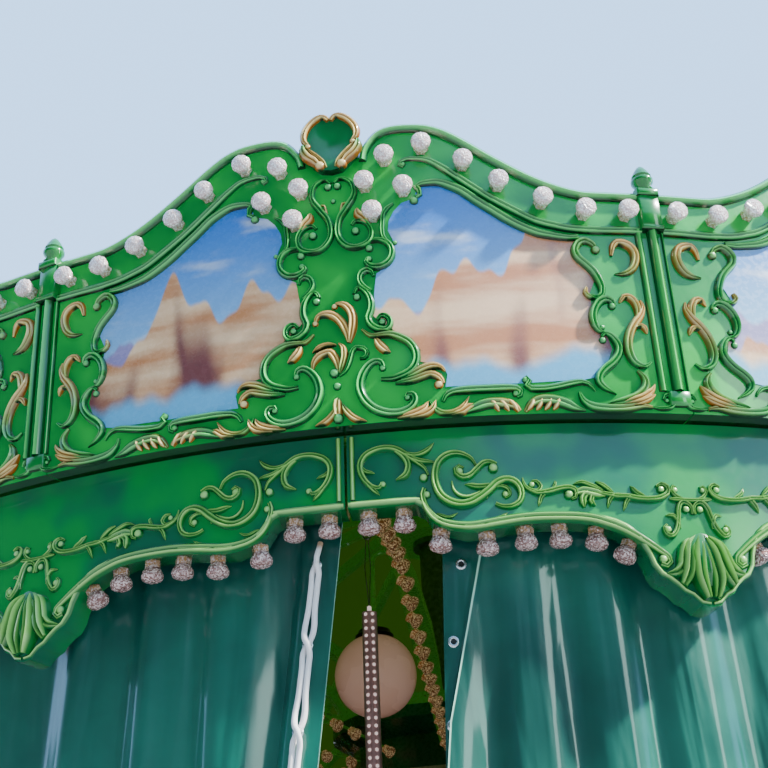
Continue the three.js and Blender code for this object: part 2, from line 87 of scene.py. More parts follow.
floor_data = bpy.data.meshes.new("floor")
floor_corners = [(-FLOOR_HALF, -FLOOR_HALF, 0), (FLOOR_HALF, -FLOOR_HALF, 0), (FLOOR_HALF, FLOOR_HALF, 0),
                 (-FLOOR_HALF, FLOOR_HALF, 0)]
floor_data.from_pydata(floor_corners, [], [(0, 1, 2, 3)])
floor = placed("floor", floor_data)


def blank_material(name):
    """A node material; hand back the material, its node tree and its shader."""
    material = bpy.data.materials.new(name)
    material.use_nodes = True
    tree = material.node_tree
    return material, tree, tree.nodes["Principled BSDF"]


def give(tree, node, inputs):
    """Fills a node's inputs, each with a value or with a socket to link from."""
    for key, value in inputs.items():
        if isinstance(value, bpy.types.NodeSocket):
            tree.links.new(value, node.inputs[key])
        else:
            node.inputs[key].default_value = value


def add_node(tree, kind, inputs=None, **settings):
    """One node with its settings and inputs."""
    made = tree.nodes.new(kind)
    for key, value in settings.items():
        setattr(made, key, value)
    give(tree, made, inputs or {})
    return made


def part_of(tree, vector, axis):
    """The X, Y or Z of a vector."""
    return add_node(tree, "ShaderNodeSeparateXYZ", {"Vector": vector}).outputs[axis]


def mixed(tree, factor, first, second):
    """The colour between two others."""
    return add_node(tree, "ShaderNodeMix", {0: factor, 6: first, 7: second}, data_type="RGBA").outputs[2]


def spread(tree, value, low, high, to_low=0.0, to_high=1.0):
    """A value stretched from one range to another, smoothly and held at both ends."""
    inputs = {"Value": value, "From Min": low, "From Max": high, "To Min": to_low, "To Max": to_high}
    return add_node(tree, "ShaderNodeMapRange", inputs, interpolation_type="SMOOTHSTEP").outputs[0]


def calculated(tree, operation, *values):
    """One sum on one, two or three values."""
    return add_node(tree, "ShaderNodeMath", dict(enumerate(values)), operation=operation).outputs[0]


DAYLIGHT = 2.9
PAINT_LEVEL = 0.8


def linear(red, green, blue, level=PAINT_LEVEL):
    """A colour as the photograph shows it, 0 to 255, as the linear values of a paint under this daylight."""
    shares = [c / 255 for c in (red, green, blue)]
    return (*(level * (((c + 0.055) / 1.055) ** 2.4 if c > 0.04045 else c / 12.92) for c in shares), 1.0)


floor_material, floor_tree, floor_shader = blank_material("pale_floor")
give(floor_tree, floor_shader, {"Base Color": linear(196, 198, 202, 0.45), "Roughness": 0.9})
floor_data.materials.append(floor_material)

sky = bpy.data.worlds.new("pale_sky")
sky.use_nodes = True
tree = sky.node_tree
toward = add_node(tree, "ShaderNodeSeparateXYZ",
                  {"Vector": tree.nodes.new("ShaderNodeTexCoord").outputs["Generated"]}).outputs


def only_where(values):
    """The product of ramps that are 1 where each given part of the direction is past its second number."""
    product = 1.0
    for value, clear, dim in values:
        product = calculated(tree, "MULTIPLY", spread(tree, value, clear, dim), product)
    return product


# The pieces are lit by a sky that is dimmed near the ground in front, but for one bright gap, and on the left
# higher up; behind them the camera sees the clear sky alone.
towards_front = calculated(tree, "MAXIMUM", calculated(tree, "MULTIPLY", toward["Y"], -1.0), 0.02)
heading = calculated(tree, "DIVIDE", toward["X"], towards_front)
gap = only_where([(heading, 0.98, 1.08), (heading, 1.62, 1.5)])
front = [(toward["Y"], 0.05, -0.2), (toward["Z"], 0.4, 0.33)]
low = only_where([*front, (gap, 1.0, 0.0)])
glare = only_where([*front, (gap, 0.0, 1.0)])
left = only_where([(toward["X"], 0.28, -0.1), (toward["Y"], 0.05, -0.4), (toward["Z"], 0.85, 0.55)])
shade = calculated(tree, "MAXIMUM", low, left)
clear = linear(158, 204, 255, 1.0)
dimmed = mixed(tree, shade, clear, linear(52, 72, 66, 1.0))
lighting = mixed(tree, glare, dimmed, linear(220, 255, 246, 2.7))
seen = tree.nodes.new("ShaderNodeLightPath").outputs["Is Camera Ray"]
give(tree, tree.nodes["Background"], {"Color": mixed(tree, seen, lighting, clear), "Strength": DAYLIGHT})
bpy.context.scene.world = sky

SUN_AZIMUTH = math.radians(77)
SUN_HEIGHT = math.radians(43)
SUN_POWER = 6.6 * DAYLIGHT
SUN_WIDTH = math.radians(3.0)
sun_data = bpy.data.lights.new("daylight", "SUN")
sun_data.energy = SUN_POWER
sun_data.angle = SUN_WIDTH
sun_data.color = (1.0, 0.965, 0.91)
sun = placed("daylight", sun_data)
sun_from = Vector((
    math.sin(SUN_AZIMUTH) * math.cos(SUN_HEIGHT),
    -math.cos(SUN_AZIMUTH) * math.cos(SUN_HEIGHT),
    math.sin(SUN_HEIGHT),
))
sun.rotation_euler = sun_from.to_track_quat("Z", "Y").to_euler()

# Lacing rope
# A soft white braided cord, 16 mm thick, laced as a doubled chain down the outside of the left front
# curtain. It starts at a curtain eyelet under the valance, runs to the hem, turns, and comes back up
# crossing itself once for each link; its frayed end hangs free at the top.
ROPE_RADIUS = 0.008
ROPE_SIDES = 8
ROPE_FACE = 3.5002
ROPE_TOP = 2.600
ROPE_LINK = 0.222
ROPE_LINKS = 10
# How far each strand lies from the middle of the chain along one link: an eye, a close run, a slack opening.
LINK_SHARES = (0.0, 0.1, 0.24, 0.55, 0.66, 0.8, 0.93, 1.0)
LINK_SPREADS = (0.0, 0.0108, 0.0084, 0.0083, 0.0098, 0.013, 0.0095, 0.0)
LINK_BLUR = (-0.05, -0.025, 0.0, 0.025, 0.05)
ROPE_LIFT = 0.0172
LIFT_LENGTH = 0.03
ROPE_EDGE_TOP = math.radians(-1.64)
ROPE_EDGE_SLOPE = math.radians(-1.852)
# The loop under the last link, one half of it: distance to the side, distance below the link.
FOOT_LOOP = [(0.011, 0.012), (0.021, 0.028), (0.026, 0.046), (0.024, 0.064), (0.014, 0.077)]
FOOT_DEPTH = 0.082
FIRST_RUN = 0.03
FREE_END = 0.06
FRAYED_FROM = 0.03
FRAYED_FULLY = 0.008
STEPS_PER_LINK = 26
STRAND_ANGLE = 0.62


def rope_point(level, across, rise=0.0):
    """A point on the lacing's line at a height, moved along the curtain and off it, in metres."""
    angle = ROPE_EDGE_TOP + ROPE_EDGE_SLOPE * (ROPE_TOP - level) + across / ROPE_FACE
    radius = ROPE_FACE + ROPE_RADIUS + 0.001 + rise
    return (radius * math.sin(angle), -radius * math.cos(angle), level)


def strand_point(run, side):
    """A point on one of the two strands: run counts links from the top, side is 1 or -1."""
    nearest = round(run)
    closeness = math.exp(-(((run - nearest) * ROPE_LINK / LIFT_LENGTH) ** 2))
    on_top = (nearest % 2 == 0) == (side > 0)
    link = math.floor(run)
    window = [min(max(run - link + shift, 0.0), 1.0) for shift in LINK_BLUR]
    swing = float(np.mean(np.interp(window, LINK_SHARES, LINK_SPREADS)))
    side = side if link % 2 == 0 else -side
    return rope_point(ROPE_TOP - run * ROPE_LINK, side * swing, ROPE_LIFT * closeness if on_top else 0.0)


runs_down = np.linspace(FIRST_RUN, ROPE_LINKS, int((ROPE_LINKS - FIRST_RUN) * STEPS_PER_LINK))
rope_path = [strand_point(run, 1) for run in runs_down]
foot_level = ROPE_TOP - ROPE_LINKS * ROPE_LINK
foot_side = 1 if ROPE_LINKS % 2 == 0 else -1
foot_back = [(-across, drop) for across, drop in reversed(FOOT_LOOP)]
for across, drop in (*FOOT_LOOP, (0.0, FOOT_DEPTH), *foot_back):
    rope_path.append(rope_point(foot_level - drop, foot_side * across))
rope_path.extend(strand_point(run, -1)
                 for run in np.linspace(ROPE_LINKS, 0.0, int(ROPE_LINKS * STEPS_PER_LINK)))
for share in (0.25, 0.5, 0.75, 1.0):
    rope_path.append(rope_point(ROPE_TOP + FREE_END * share, 0.004 * share, ROPE_LIFT * (1 - share)))


def quads(rows, columns, start=0, closed=True, turned_over=False):
    """The faces of a grid of points, row after row; in a closed grid each row's end meets its start."""
    faces = []
    for row in range(rows - 1):
        for column in range(columns if closed else columns - 1):
            a = start + row * columns + column
            b = start + row * columns + (column + 1) % columns
            faces.append((a, a + columns, b + columns, b) if turned_over
                         else (a, b, b + columns, a + columns))
    return faces


def tube(points, radius, sides):
    """A closed round tube along close points, with its length and turn as a UV map in metres."""
    line = np.array(points)
    run = np.gradient(line, axis=0)
    run /= np.linalg.norm(run, axis=1)[:, None]
    normal = np.cross(run[0], (0, 0, 1.0))
    if np.linalg.norm(normal) < 0.1:
        normal = np.cross(run[0], (0, 1.0, 0))
    verts = []
    lengths = np.concatenate([[0], np.cumsum(np.linalg.norm(np.diff(line, axis=0), axis=1))])
    turn = 2 * np.pi * np.arange(sides) / sides
    for point, direction in zip(line, run):
        normal = normal - direction * np.dot(normal, direction)
        normal /= np.linalg.norm(normal)
        other = np.cross(direction, normal)
        verts.extend((point + radius * (math.cos(a) * normal + math.sin(a) * other)).tolist() for a in turn)
    count = len(line)
    faces = quads(count, sides)
    uvs = []
    for start, end in zip(lengths, lengths[1:]):
        for k in range(sides):
            near, far = k / sides, (k + 1) / sides
            uvs.extend([(near, start), (far, start), (far, end), (near, end)])
    faces.append(tuple(range(sides - 1, -1, -1)))
    faces.append(tuple((count - 1) * sides + k for k in range(sides)))
    uvs.extend([(0.0, 0.0)] * sides + [(0.0, float(lengths[-1]))] * sides)
    return verts, faces, uvs, float(lengths[-1])


rope_verts, rope_faces, rope_uvs, rope_length = tube(rope_path, ROPE_RADIUS, ROPE_SIDES)
rope_mesh = bpy.data.meshes.new("lacing")
rope_mesh.from_pydata(rope_verts, [], rope_faces)
rope_mesh.uv_layers.new(name="braid").data.foreach_set("uv", np.array(rope_uvs).ravel())
rope_mesh.polygons.foreach_set("use_smooth", [True] * len(rope_faces))
rope_mesh.set_sharp_from_angle(angle=math.radians(60))
lacing = placed("lacing_chain", rope_mesh)


def bumped(tree, height, strength, distance, under=None):
    """The normal of a surface with fine relief, laid over another normal if one is given."""
    inputs = {"Height": height, "Strength": strength, "Distance": distance}
    if under:
        inputs["Normal"] = under
    return add_node(tree, "ShaderNodeBump", inputs).outputs["Normal"]


braid_cord, tree, shader = blank_material("braided_cord")
braid = add_node(tree, "ShaderNodeUVMap", uv_map="braid").outputs["UV"]
strands = []
for angle in (STRAND_ANGLE, -STRAND_ANGLE):
    laid = add_node(tree, "ShaderNodeMapping",
                    {"Vector": braid, "Scale": (6.0, 260.0, 1.0), "Rotation": (0.0, 0.0, angle)})
    strands.append(add_node(tree, "ShaderNodeTexWave",
                            {"Vector": laid.outputs["Vector"], "Scale": 0.5}).outputs["Fac"])
crossing = calculated(tree, "MAXIMUM", *strands)
# The cord is painted darker in the grooves between strands and white on their tops: painted shade and painted
# highlight.
shaded_cord_tone = mixed(tree, crossing, linear(232, 222, 224, 0.8), linear(255, 252, 250, 0.8))
frayed = spread(tree, part_of(tree, braid, "Y"), rope_length - FRAYED_FROM, rope_length - FRAYED_FULLY)
give(tree, shader, {
    "Base Color": mixed(tree, frayed, shaded_cord_tone, linear(196, 158, 120)),
    "Normal": bumped(tree, crossing, 0.5, 0.001),
    "Roughness": 0.75,
    "Sheen Weight": 0.3,
})
rope_mesh.materials.append(braid_cord)
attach(lacing, "turntable")
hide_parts("lacing_rope")

# Crown panels
# Twelve moulded glassfibre boards stand round the rim, leaning slightly outwards, painted in
# two greens with hand-gilded scroll work. Each carries a heart cartouche and two painted pictures
# in the middle, and a ribbed post with an acorn finial at its right end, bolted to the next board.
BAYS = 12
BAY_ANGLE = 2 * math.pi / BAYS
ARC_RADIUS = 3700.0
HALF_BAY = ARC_RADIUS * BAY_ANGLE / 2
CROWN_FACE = 3660.0
CROWN_LEAN = 0.098
CROWN_LEVEL = 2950.0
CROWN_DEPTH_FOOT = 88.0
CROWN_DEPTH_TOP = 48.0
CROWN_FOOT = -9.7
PANEL_GAP = 3.0
PLAIN, PICTURE, WELL = 0, 1, 2


def on_ring(u, v, rise, face=CROWN_FACE, lean=CROWN_LEAN):
    """Arc length u, height v above the crown's foot and rise off the face, all mm, as metres."""
    u, v, rise = np.broadcast_arrays(np.asarray(u, float), v, rise)
    radius = face + lean * v + rise
    angle = u / ARC_RADIUS
    level = CROWN_LEVEL + v - lean * rise
    return np.stack([radius * np.sin(angle), -radius * np.cos(angle), level], -1) / 1000


class Carving:
    """Surfaces gathered for one board, as (u, v, rise) points in mm, with the paint of each point."""

    def __init__(self):
        self.points = []
        self.faces = []
        # Crest values weight the painted shade in grooves and the painted highlight on crests.
        self.paint = {"gilt": [], "raised": [], "crest": []}
        self.finish = []
        self.drop = 0.0

    def add(self, points, faces, gilt=0.0, raised=1.0, finish=PLAIN, crest=0.5):
        """One more surface; its paint values are one for all points, or a list."""
        start = len(self.points)
        self.points.extend((float(u), float(v) - self.drop, float(rise)) for u, v, rise in points)
        self.faces.extend(tuple(start + i for i in face) for face in faces)
        for label, values in (("gilt", gilt), ("raised", raised), ("crest", crest)):
            self.paint[label].extend(np.broadcast_to(values, len(points)).tolist())
        self.finish.extend([finish] * len(faces))


def curve_through(points, spacing):
    """A smooth line through the points, sampled about every `spacing` mm."""
    knots = np.array(points, float)
    padded = np.vstack([2 * knots[0] - knots[1], knots, 2 * knots[-1] - knots[-2]])
    runs = []
    for i in range(len(knots) - 1):
        a, b, c, d = padded[i:i + 4]
        count = max(1, int(round(np.linalg.norm(c - b) / spacing)))
        t = (np.arange(count) / count)[:, None]
        runs.append(0.5 * (2 * b + (c - a) * t + (2 * a - 5 * b + 4 * c - d) * t ** 2
                           + (3 * b - a - 3 * c + d) * t ** 3))
    runs.append(knots[-1:])
    return np.vstack(runs)


# A carved scroll has a high ridge on its outer side, a groove beside it and a lower rounded back.
GROOVED = [(-1, -0.15), (-0.84, 0.62), (-0.46, 1.0), (-0.04, 0.56), (0.36, 0.8), (0.8, 0.5), (1, -0.15)]
ROUNDED = [(-1, -0.15), (-0.72, 0.62), (0, 1.0), (0.72, 0.62), (1, -0.15)]
KNOB_RINGS = [(1.0, -0.1), (0.93, 0.42), (0.6, 0.82)]
KNOB_SIDES = 9


def circle(sides):
    """The angles of equal steps round a full turn."""
    return 2 * np.pi * np.arange(sides) / sides


def ball(carving, u, v, radius, gilt=0.0, base=0.0, mirrored=False):
    """The round knob at the end of a scroll."""
    u = -u if mirrored else u
    points = [(u + radius * r * math.cos(a), v + radius * r * math.sin(a), base + radius * h)
              for r, h in KNOB_RINGS for a in circle(KNOB_SIDES)]
    points.append((u, v, base + radius))
    faces = [tuple(range(KNOB_SIDES - 1, -1, -1)), *quads(len(KNOB_RINGS), KNOB_SIDES)]
    top = (len(KNOB_RINGS) - 1) * KNOB_SIDES
    faces.extend((top + i, top + (i + 1) % KNOB_SIDES, top + KNOB_SIDES) for i in range(KNOB_SIDES))
    carving.add(points, faces, gilt, crest=[*np.repeat([h for _, h in KNOB_RINGS], KNOB_SIDES), 1.0])


# A stroke swells to its full width over this share of its length, from either end.
SWELL_SHARE = 0.35


def scroll(carving, points, width, ends=(0.4, 0.6), gilt=(0.0, 0.0), height=None, section=GROOVED, knobs=(),
           mirrored=False, base=0.0, spacing=10.0):
    """A carved stroke along the points, narrow at its ends, with knobs where it curls in."""
    sign = -1 if mirrored else 1
    line = curve_through([(sign * p[0], p[1]) for p in points], spacing)
    outline = [(-x, y) for x, y in reversed(section)] if mirrored else section
    height = height or min(20.0, width * 0.85)
    run = np.gradient(line, axis=0)
    run /= np.linalg.norm(run, axis=1)[:, None]
    side = np.stack([-run[:, 1], run[:, 0]], 1)
    lengths = np.concatenate([[0], np.cumsum(np.linalg.norm(np.diff(line, axis=0), axis=1))])
    share = lengths / lengths[-1]
    swells = [end + (1 - end) * np.sin(np.clip(way / SWELL_SHARE, 0, 1) * np.pi / 2)
              for end, way in zip(ends, (share, 1 - share))]
    swell = np.minimum(*swells)
    tone = gilt[0] + (gilt[1] - gilt[0]) * share
    count = len(outline)
    rings = [
        (*(line[i] + side[i] * x * swell[i] * width / 2), base + y * height * swell[i] ** 0.7)
        for i in range(len(line)) for x, y in outline
    ]
    faces = quads(len(line), count, turned_over=True)
    faces.append(tuple(range(count)))
    faces.append(tuple((len(line) - 1) * count + j for j in range(count - 1, -1, -1)))
    carving.add(rings, faces, np.repeat(tone, count), crest=np.tile([y for _, y in outline], len(line)))
    for u, v, radius in knobs:
        near_start = math.dist((u, v), points[0]) < math.dist((u, v), points[-1])
        ball(carving, u, v, radius, gilt[0] if near_start else gilt[1], base, mirrored)


def plate(carving, outline, spacing, front, back, finish=PLAIN, gilt=0.0, raised=0.0):
    """A closed board with a free outline; front and back give its rise at any (u, v)."""
    edge = np.array(outline, float)
    if np.sum(edge[:, 0] * np.roll(edge[:, 1], -1) - np.roll(edge[:, 0], -1) * edge[:, 1]) < 0:
        edge = edge[::-1]
    low, high = edge.min(0), edge.max(0)
    grid = [(u, v) for u in np.arange(low[0] + spacing / 2, high[0], spacing)
            for v in np.arange(low[1] + spacing / 2, high[1], spacing)]
    inner = [p for p in grid if inside(p, edge) and clearance(p, edge) > spacing * 0.35]
    flat = [Vector(p) for p in [*edge.tolist(), *inner]]
    ring = [(i, (i + 1) % len(edge)) for i in range(len(edge))]
    verts, _, tris, _, _, _ = geometry.delaunay_2d_cdt(flat, ring, [list(range(len(edge)))], 1, 1e-4)
    count = len(verts)
    points = [(p.x, p.y, front(p.x, p.y)) for p in verts] + [(p.x, p.y, back(p.x, p.y)) for p in verts]
    faces = [tuple(t) for t in tris] + [tuple(count + i for i in reversed(t)) for t in tris]
    seen = {(t[i], t[(i + 1) % len(t)]) for t in tris for i in range(len(t))}
    faces.extend((b, a, a + count, b + count) for a, b in seen if (b, a) not in seen)
    carving.add(points, faces, gilt, raised, finish)


def inside(point, outline):
    """Whether a point lies inside a closed outline."""
    x, y = point
    crossings = 0
    for (x0, y0), (x1, y1) in zip(outline, np.roll(outline, -1, 0)):
        if (y0 > y) != (y1 > y) and x < (x1 - x0) * (y - y0) / (y1 - y0) + x0:
            crossings += 1
    return crossings % 2 == 1


def clearance(point, outline):
    """Distance from a point to the nearest corner or edge of an outline."""
    p = np.array(point)
    a = np.array(outline)
    d = np.roll(a, -1, 0) - a
    t = np.clip(np.sum((p - a) * d, 1) / np.sum(d * d, 1), 0, 1)
    return np.min(np.linalg.norm(a + d * t[:, None] - p, axis=1))


def shell_faces(rows, columns):
    """The faces of a closed shell between a grid of points and the same grid again behind it."""
    total = rows * columns
    faces = quads(rows, columns, closed=False) + quads(rows, columns, total, closed=False, turned_over=True)
    rim = [*range(columns), *range(2 * columns - 1, total, columns),
           *range(total - 2, total - columns - 1, -1), *range(total - 2 * columns, 0, -columns)]
    faces.extend((b, a, a + total, b + total) for a, b in zip(rim, rim[1:] + rim[:1]))
    return faces


def board(carving, stations, low, high, rows, depth_low, depth_high, raised=0.0):
    """A closed curved board between two edge lines, with a grid front, a grid back and its rims."""
    count = len(stations)
    shares = np.linspace(0, 1, rows)
    front = [(u, low(u) + (high(u) - low(u)) * s, 0.0) for s in shares for u in stations]
    back = [(u, low(u) + (high(u) - low(u)) * s, -(depth_low + (depth_high - depth_low) * s))
            for s in shares for u in stations]
    carving.add(front + back, shell_faces(rows, count), 0.0, raised)


def smooth_mesh(name, points, faces, uv_name, uvs, sharp_over):
    """A mesh with a UV map from a value at each point, sharp where it bends by over an angle in degrees."""
    mesh = bpy.data.meshes.new(name)
    mesh.from_pydata(np.asarray(points, float).tolist(), [], faces)
    corners = np.zeros(len(mesh.loops), dtype=np.int64)
    mesh.loops.foreach_get("vertex_index", corners)
    mesh.uv_layers.new(name=uv_name).data.foreach_set("uv", np.asarray(uvs, float)[corners].ravel())
    mesh.polygons.foreach_set("use_smooth", [True] * len(faces))
    mesh.set_sharp_from_angle(angle=math.radians(sharp_over))
    return mesh


def build_mesh(name, carving, place):
    """The carving as a Blender mesh, with its finishes and its paint values."""
    flat = np.array(carving.points)
    mesh = smooth_mesh(name, place(*flat.T), carving.faces, "board", flat[:, :2] / 1000, sharp_over=48)
    mesh.polygons.foreach_set("material_index", carving.finish)
    for label, values in carving.paint.items():
        mesh.attributes.new(label, "FLOAT", "POINT").data.foreach_set("value", values)
    return mesh


def at_bays(mesh, finishes, name, node, body="turntable", first_turn=0.0):
    """Copies of a mesh round the ring, one for each bay, each standing for its CAD node."""
    made = []
    for material in finishes:
        mesh.materials.append(material)
    for bay in range(BAYS):
        copy = mesh.copy()
        copy.transform(Matrix.Rotation(first_turn + bay * BAY_ANGLE, 4, "Z"))
        piece = placed(f"{name}_{bay + 1:02d}", copy)
        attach(piece, body)
        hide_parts(f"{node}_{bay + 1:02d}")
        made.append(piece)
    return made


CROWN_EDGE = [(0, 846), (92, 852), (104, 926), (142, 994), (212, 1014), (300, 1005), (435, 920), (570, 817),
              (705, 748), (840, 729)]


def crown_top(u):
    """Height of the crown's cut edge at arc length u from the cartouche."""
    return float(np.interp(abs(u), [p[0] for p in CROWN_EDGE], [p[1] for p in CROWN_EDGE]))


POST_MIDDLE = HALF_BAY
POST_WIDTH = 66.0

crown = Carving()
crown_end = HALF_BAY + POST_WIDTH / 2 + PANEL_GAP
crown_start = crown_end - 2 * HALF_BAY + PANEL_GAP
half_stations = [0, 30, 60, 92, 104, 122, 142, 175, 212, 255, 300, 345, 390, 435, 480, 525, 570, 615, 660,
                 705, 750, 795, 840, 885]
crown_stations = [crown_start, *[-u for u in reversed(half_stations[1:])], *half_stations, 930, crown_end]
CROWN_ROWS = 8
board(crown, crown_stations, lambda u: CROWN_FOOT, crown_top, CROWN_ROWS, CROWN_DEPTH_FOOT, CROWN_DEPTH_TOP)

# Both pictures sit in the board behind the scrolls, on thin sheets let into it.
PICTURE_EDGE = [
    (302, 84), (420, 84), (520, 84), (620, 88), (700, 92), (737, 100), (772, 140), (792, 190), (780, 240),
    (748, 280), (750, 330), (747, 370), (772, 425), (728, 480), (717, 540), (735, 576), (705, 576),
    (660, 583), (615, 594), (570, 617), (525, 648), (480, 684), (435, 722), (397, 757), (360, 780),
    (330, 792), (285, 792), (262, 772), (250, 731), (210, 718), (185, 690), (168, 655), (164, 620),
    (176, 590), (182, 555), (178, 520), (160, 497), (122, 472), (116, 430), (112, 400), (114, 350),
    (106, 330), (128, 306), (152, 290), (168, 272), (215, 245), (238, 205), (236, 168), (272, 158),
    (300, 148), (310, 122),
]
PICTURE_GRID = 48.0
PICTURE_FACES = (2.0, -6.0)
for sign in (1, -1):
    outline = [(sign * u, v) for u, v in PICTURE_EDGE]
    plate(crown, outline, PICTURE_GRID, lambda u, v: PICTURE_FACES[0], lambda u, v: PICTURE_FACES[1], PICTURE)

TOP_RIM = [
    (97, 890), (103, 922), (118, 952), (142, 982), (172, 998), (210, 1003), (255, 1001), (300, 994),
    (345, 975), (390, 945), (435, 909), (480, 872), (525, 838), (570, 806), (615, 778), (660, 755),
    (705, 737), (750, 724), (795, 719), (934, 718),
]
INNER_RIM = [
    (224, 862), (211, 870), (214, 884), (232, 891), (262, 891), (300, 881), (345, 847), (390, 806),
    (435, 765), (480, 727), (525, 694), (570, 664), (615, 637), (660, 622), (705, 611), (750, 606),
    (795, 604), (934, 606),
]
PICTURE_HEAD = [
    (254, 742), (268, 750), (266, 768), (258, 781), (272, 790), (300, 793), (330, 791), (360, 778),
    (397, 755), (435, 720), (480, 682), (525, 645), (570, 615), (615, 592), (660, 581), (705, 574),
    (735, 576),
]
PICTURE_SILL = [(290, 46), (298, 62), (318, 74), (360, 78), (420, 78), (480, 78), (502, 76), (513, 67),
                (511, 55), (500, 50)]
PICTURE_SILL_END = [
    (522, 100), (533, 109), (541, 98), (531, 83), (545, 74), (580, 73), (620, 79), (660, 88), (690, 92),
    (708, 87), (720, 76), (727, 64),
]
HEART_SCROLL = [
    (5, 825), (15, 837), (30, 839), (47, 832), (60, 817), (66, 795), (66, 775), (60, 755), (47, 735),
    (35, 715), (22, 695), (14, 670), (11, 645), (14, 620), (25, 600), (40, 585), (60, 578), (80, 580),
    (100, 590), (111, 607), (113, 630), (107, 650), (95, 665), (77, 672), (62, 670), (55, 660),
]
RING_SCROLL = [
    (112, 575), (101, 583), (108, 594), (132, 597), (155, 588), (170, 568), (173, 543), (165, 520),
    (147, 504), (125, 500), (104, 507), (92, 522), (98, 535),
]
HOOK_SCROLL = [
    (52, 415), (58, 430), (75, 434), (95, 408), (103, 378), (100, 350), (92, 328), (100, 306), (122, 290),
    (143, 288), (154, 302), (153, 320), (141, 333), (126, 333), (117, 322),
]
GREAT_S = [
    (72, 295), (97, 272), (135, 271), (160, 268), (187, 255), (208, 238), (222, 214), (225, 185), (216, 160),
    (198, 143), (175, 134), (150, 128), (120, 130),
]
GREAT_C = [
    (128, 165), (122, 182), (105, 187), (86, 175), (71, 156), (62, 134), (59, 109), (65, 84), (78, 60),
    (100, 39), (130, 25), (160, 21), (187, 28), (207, 44), (213, 62), (205, 76), (192, 76), (188, 66),
]
END_S_TOP = [
    (784, 536), (776, 552), (752, 563), (732, 552), (720, 528), (727, 503), (748, 480), (768, 455),
    (780, 428), (787, 400), (783, 376), (768, 366), (750, 372),
]
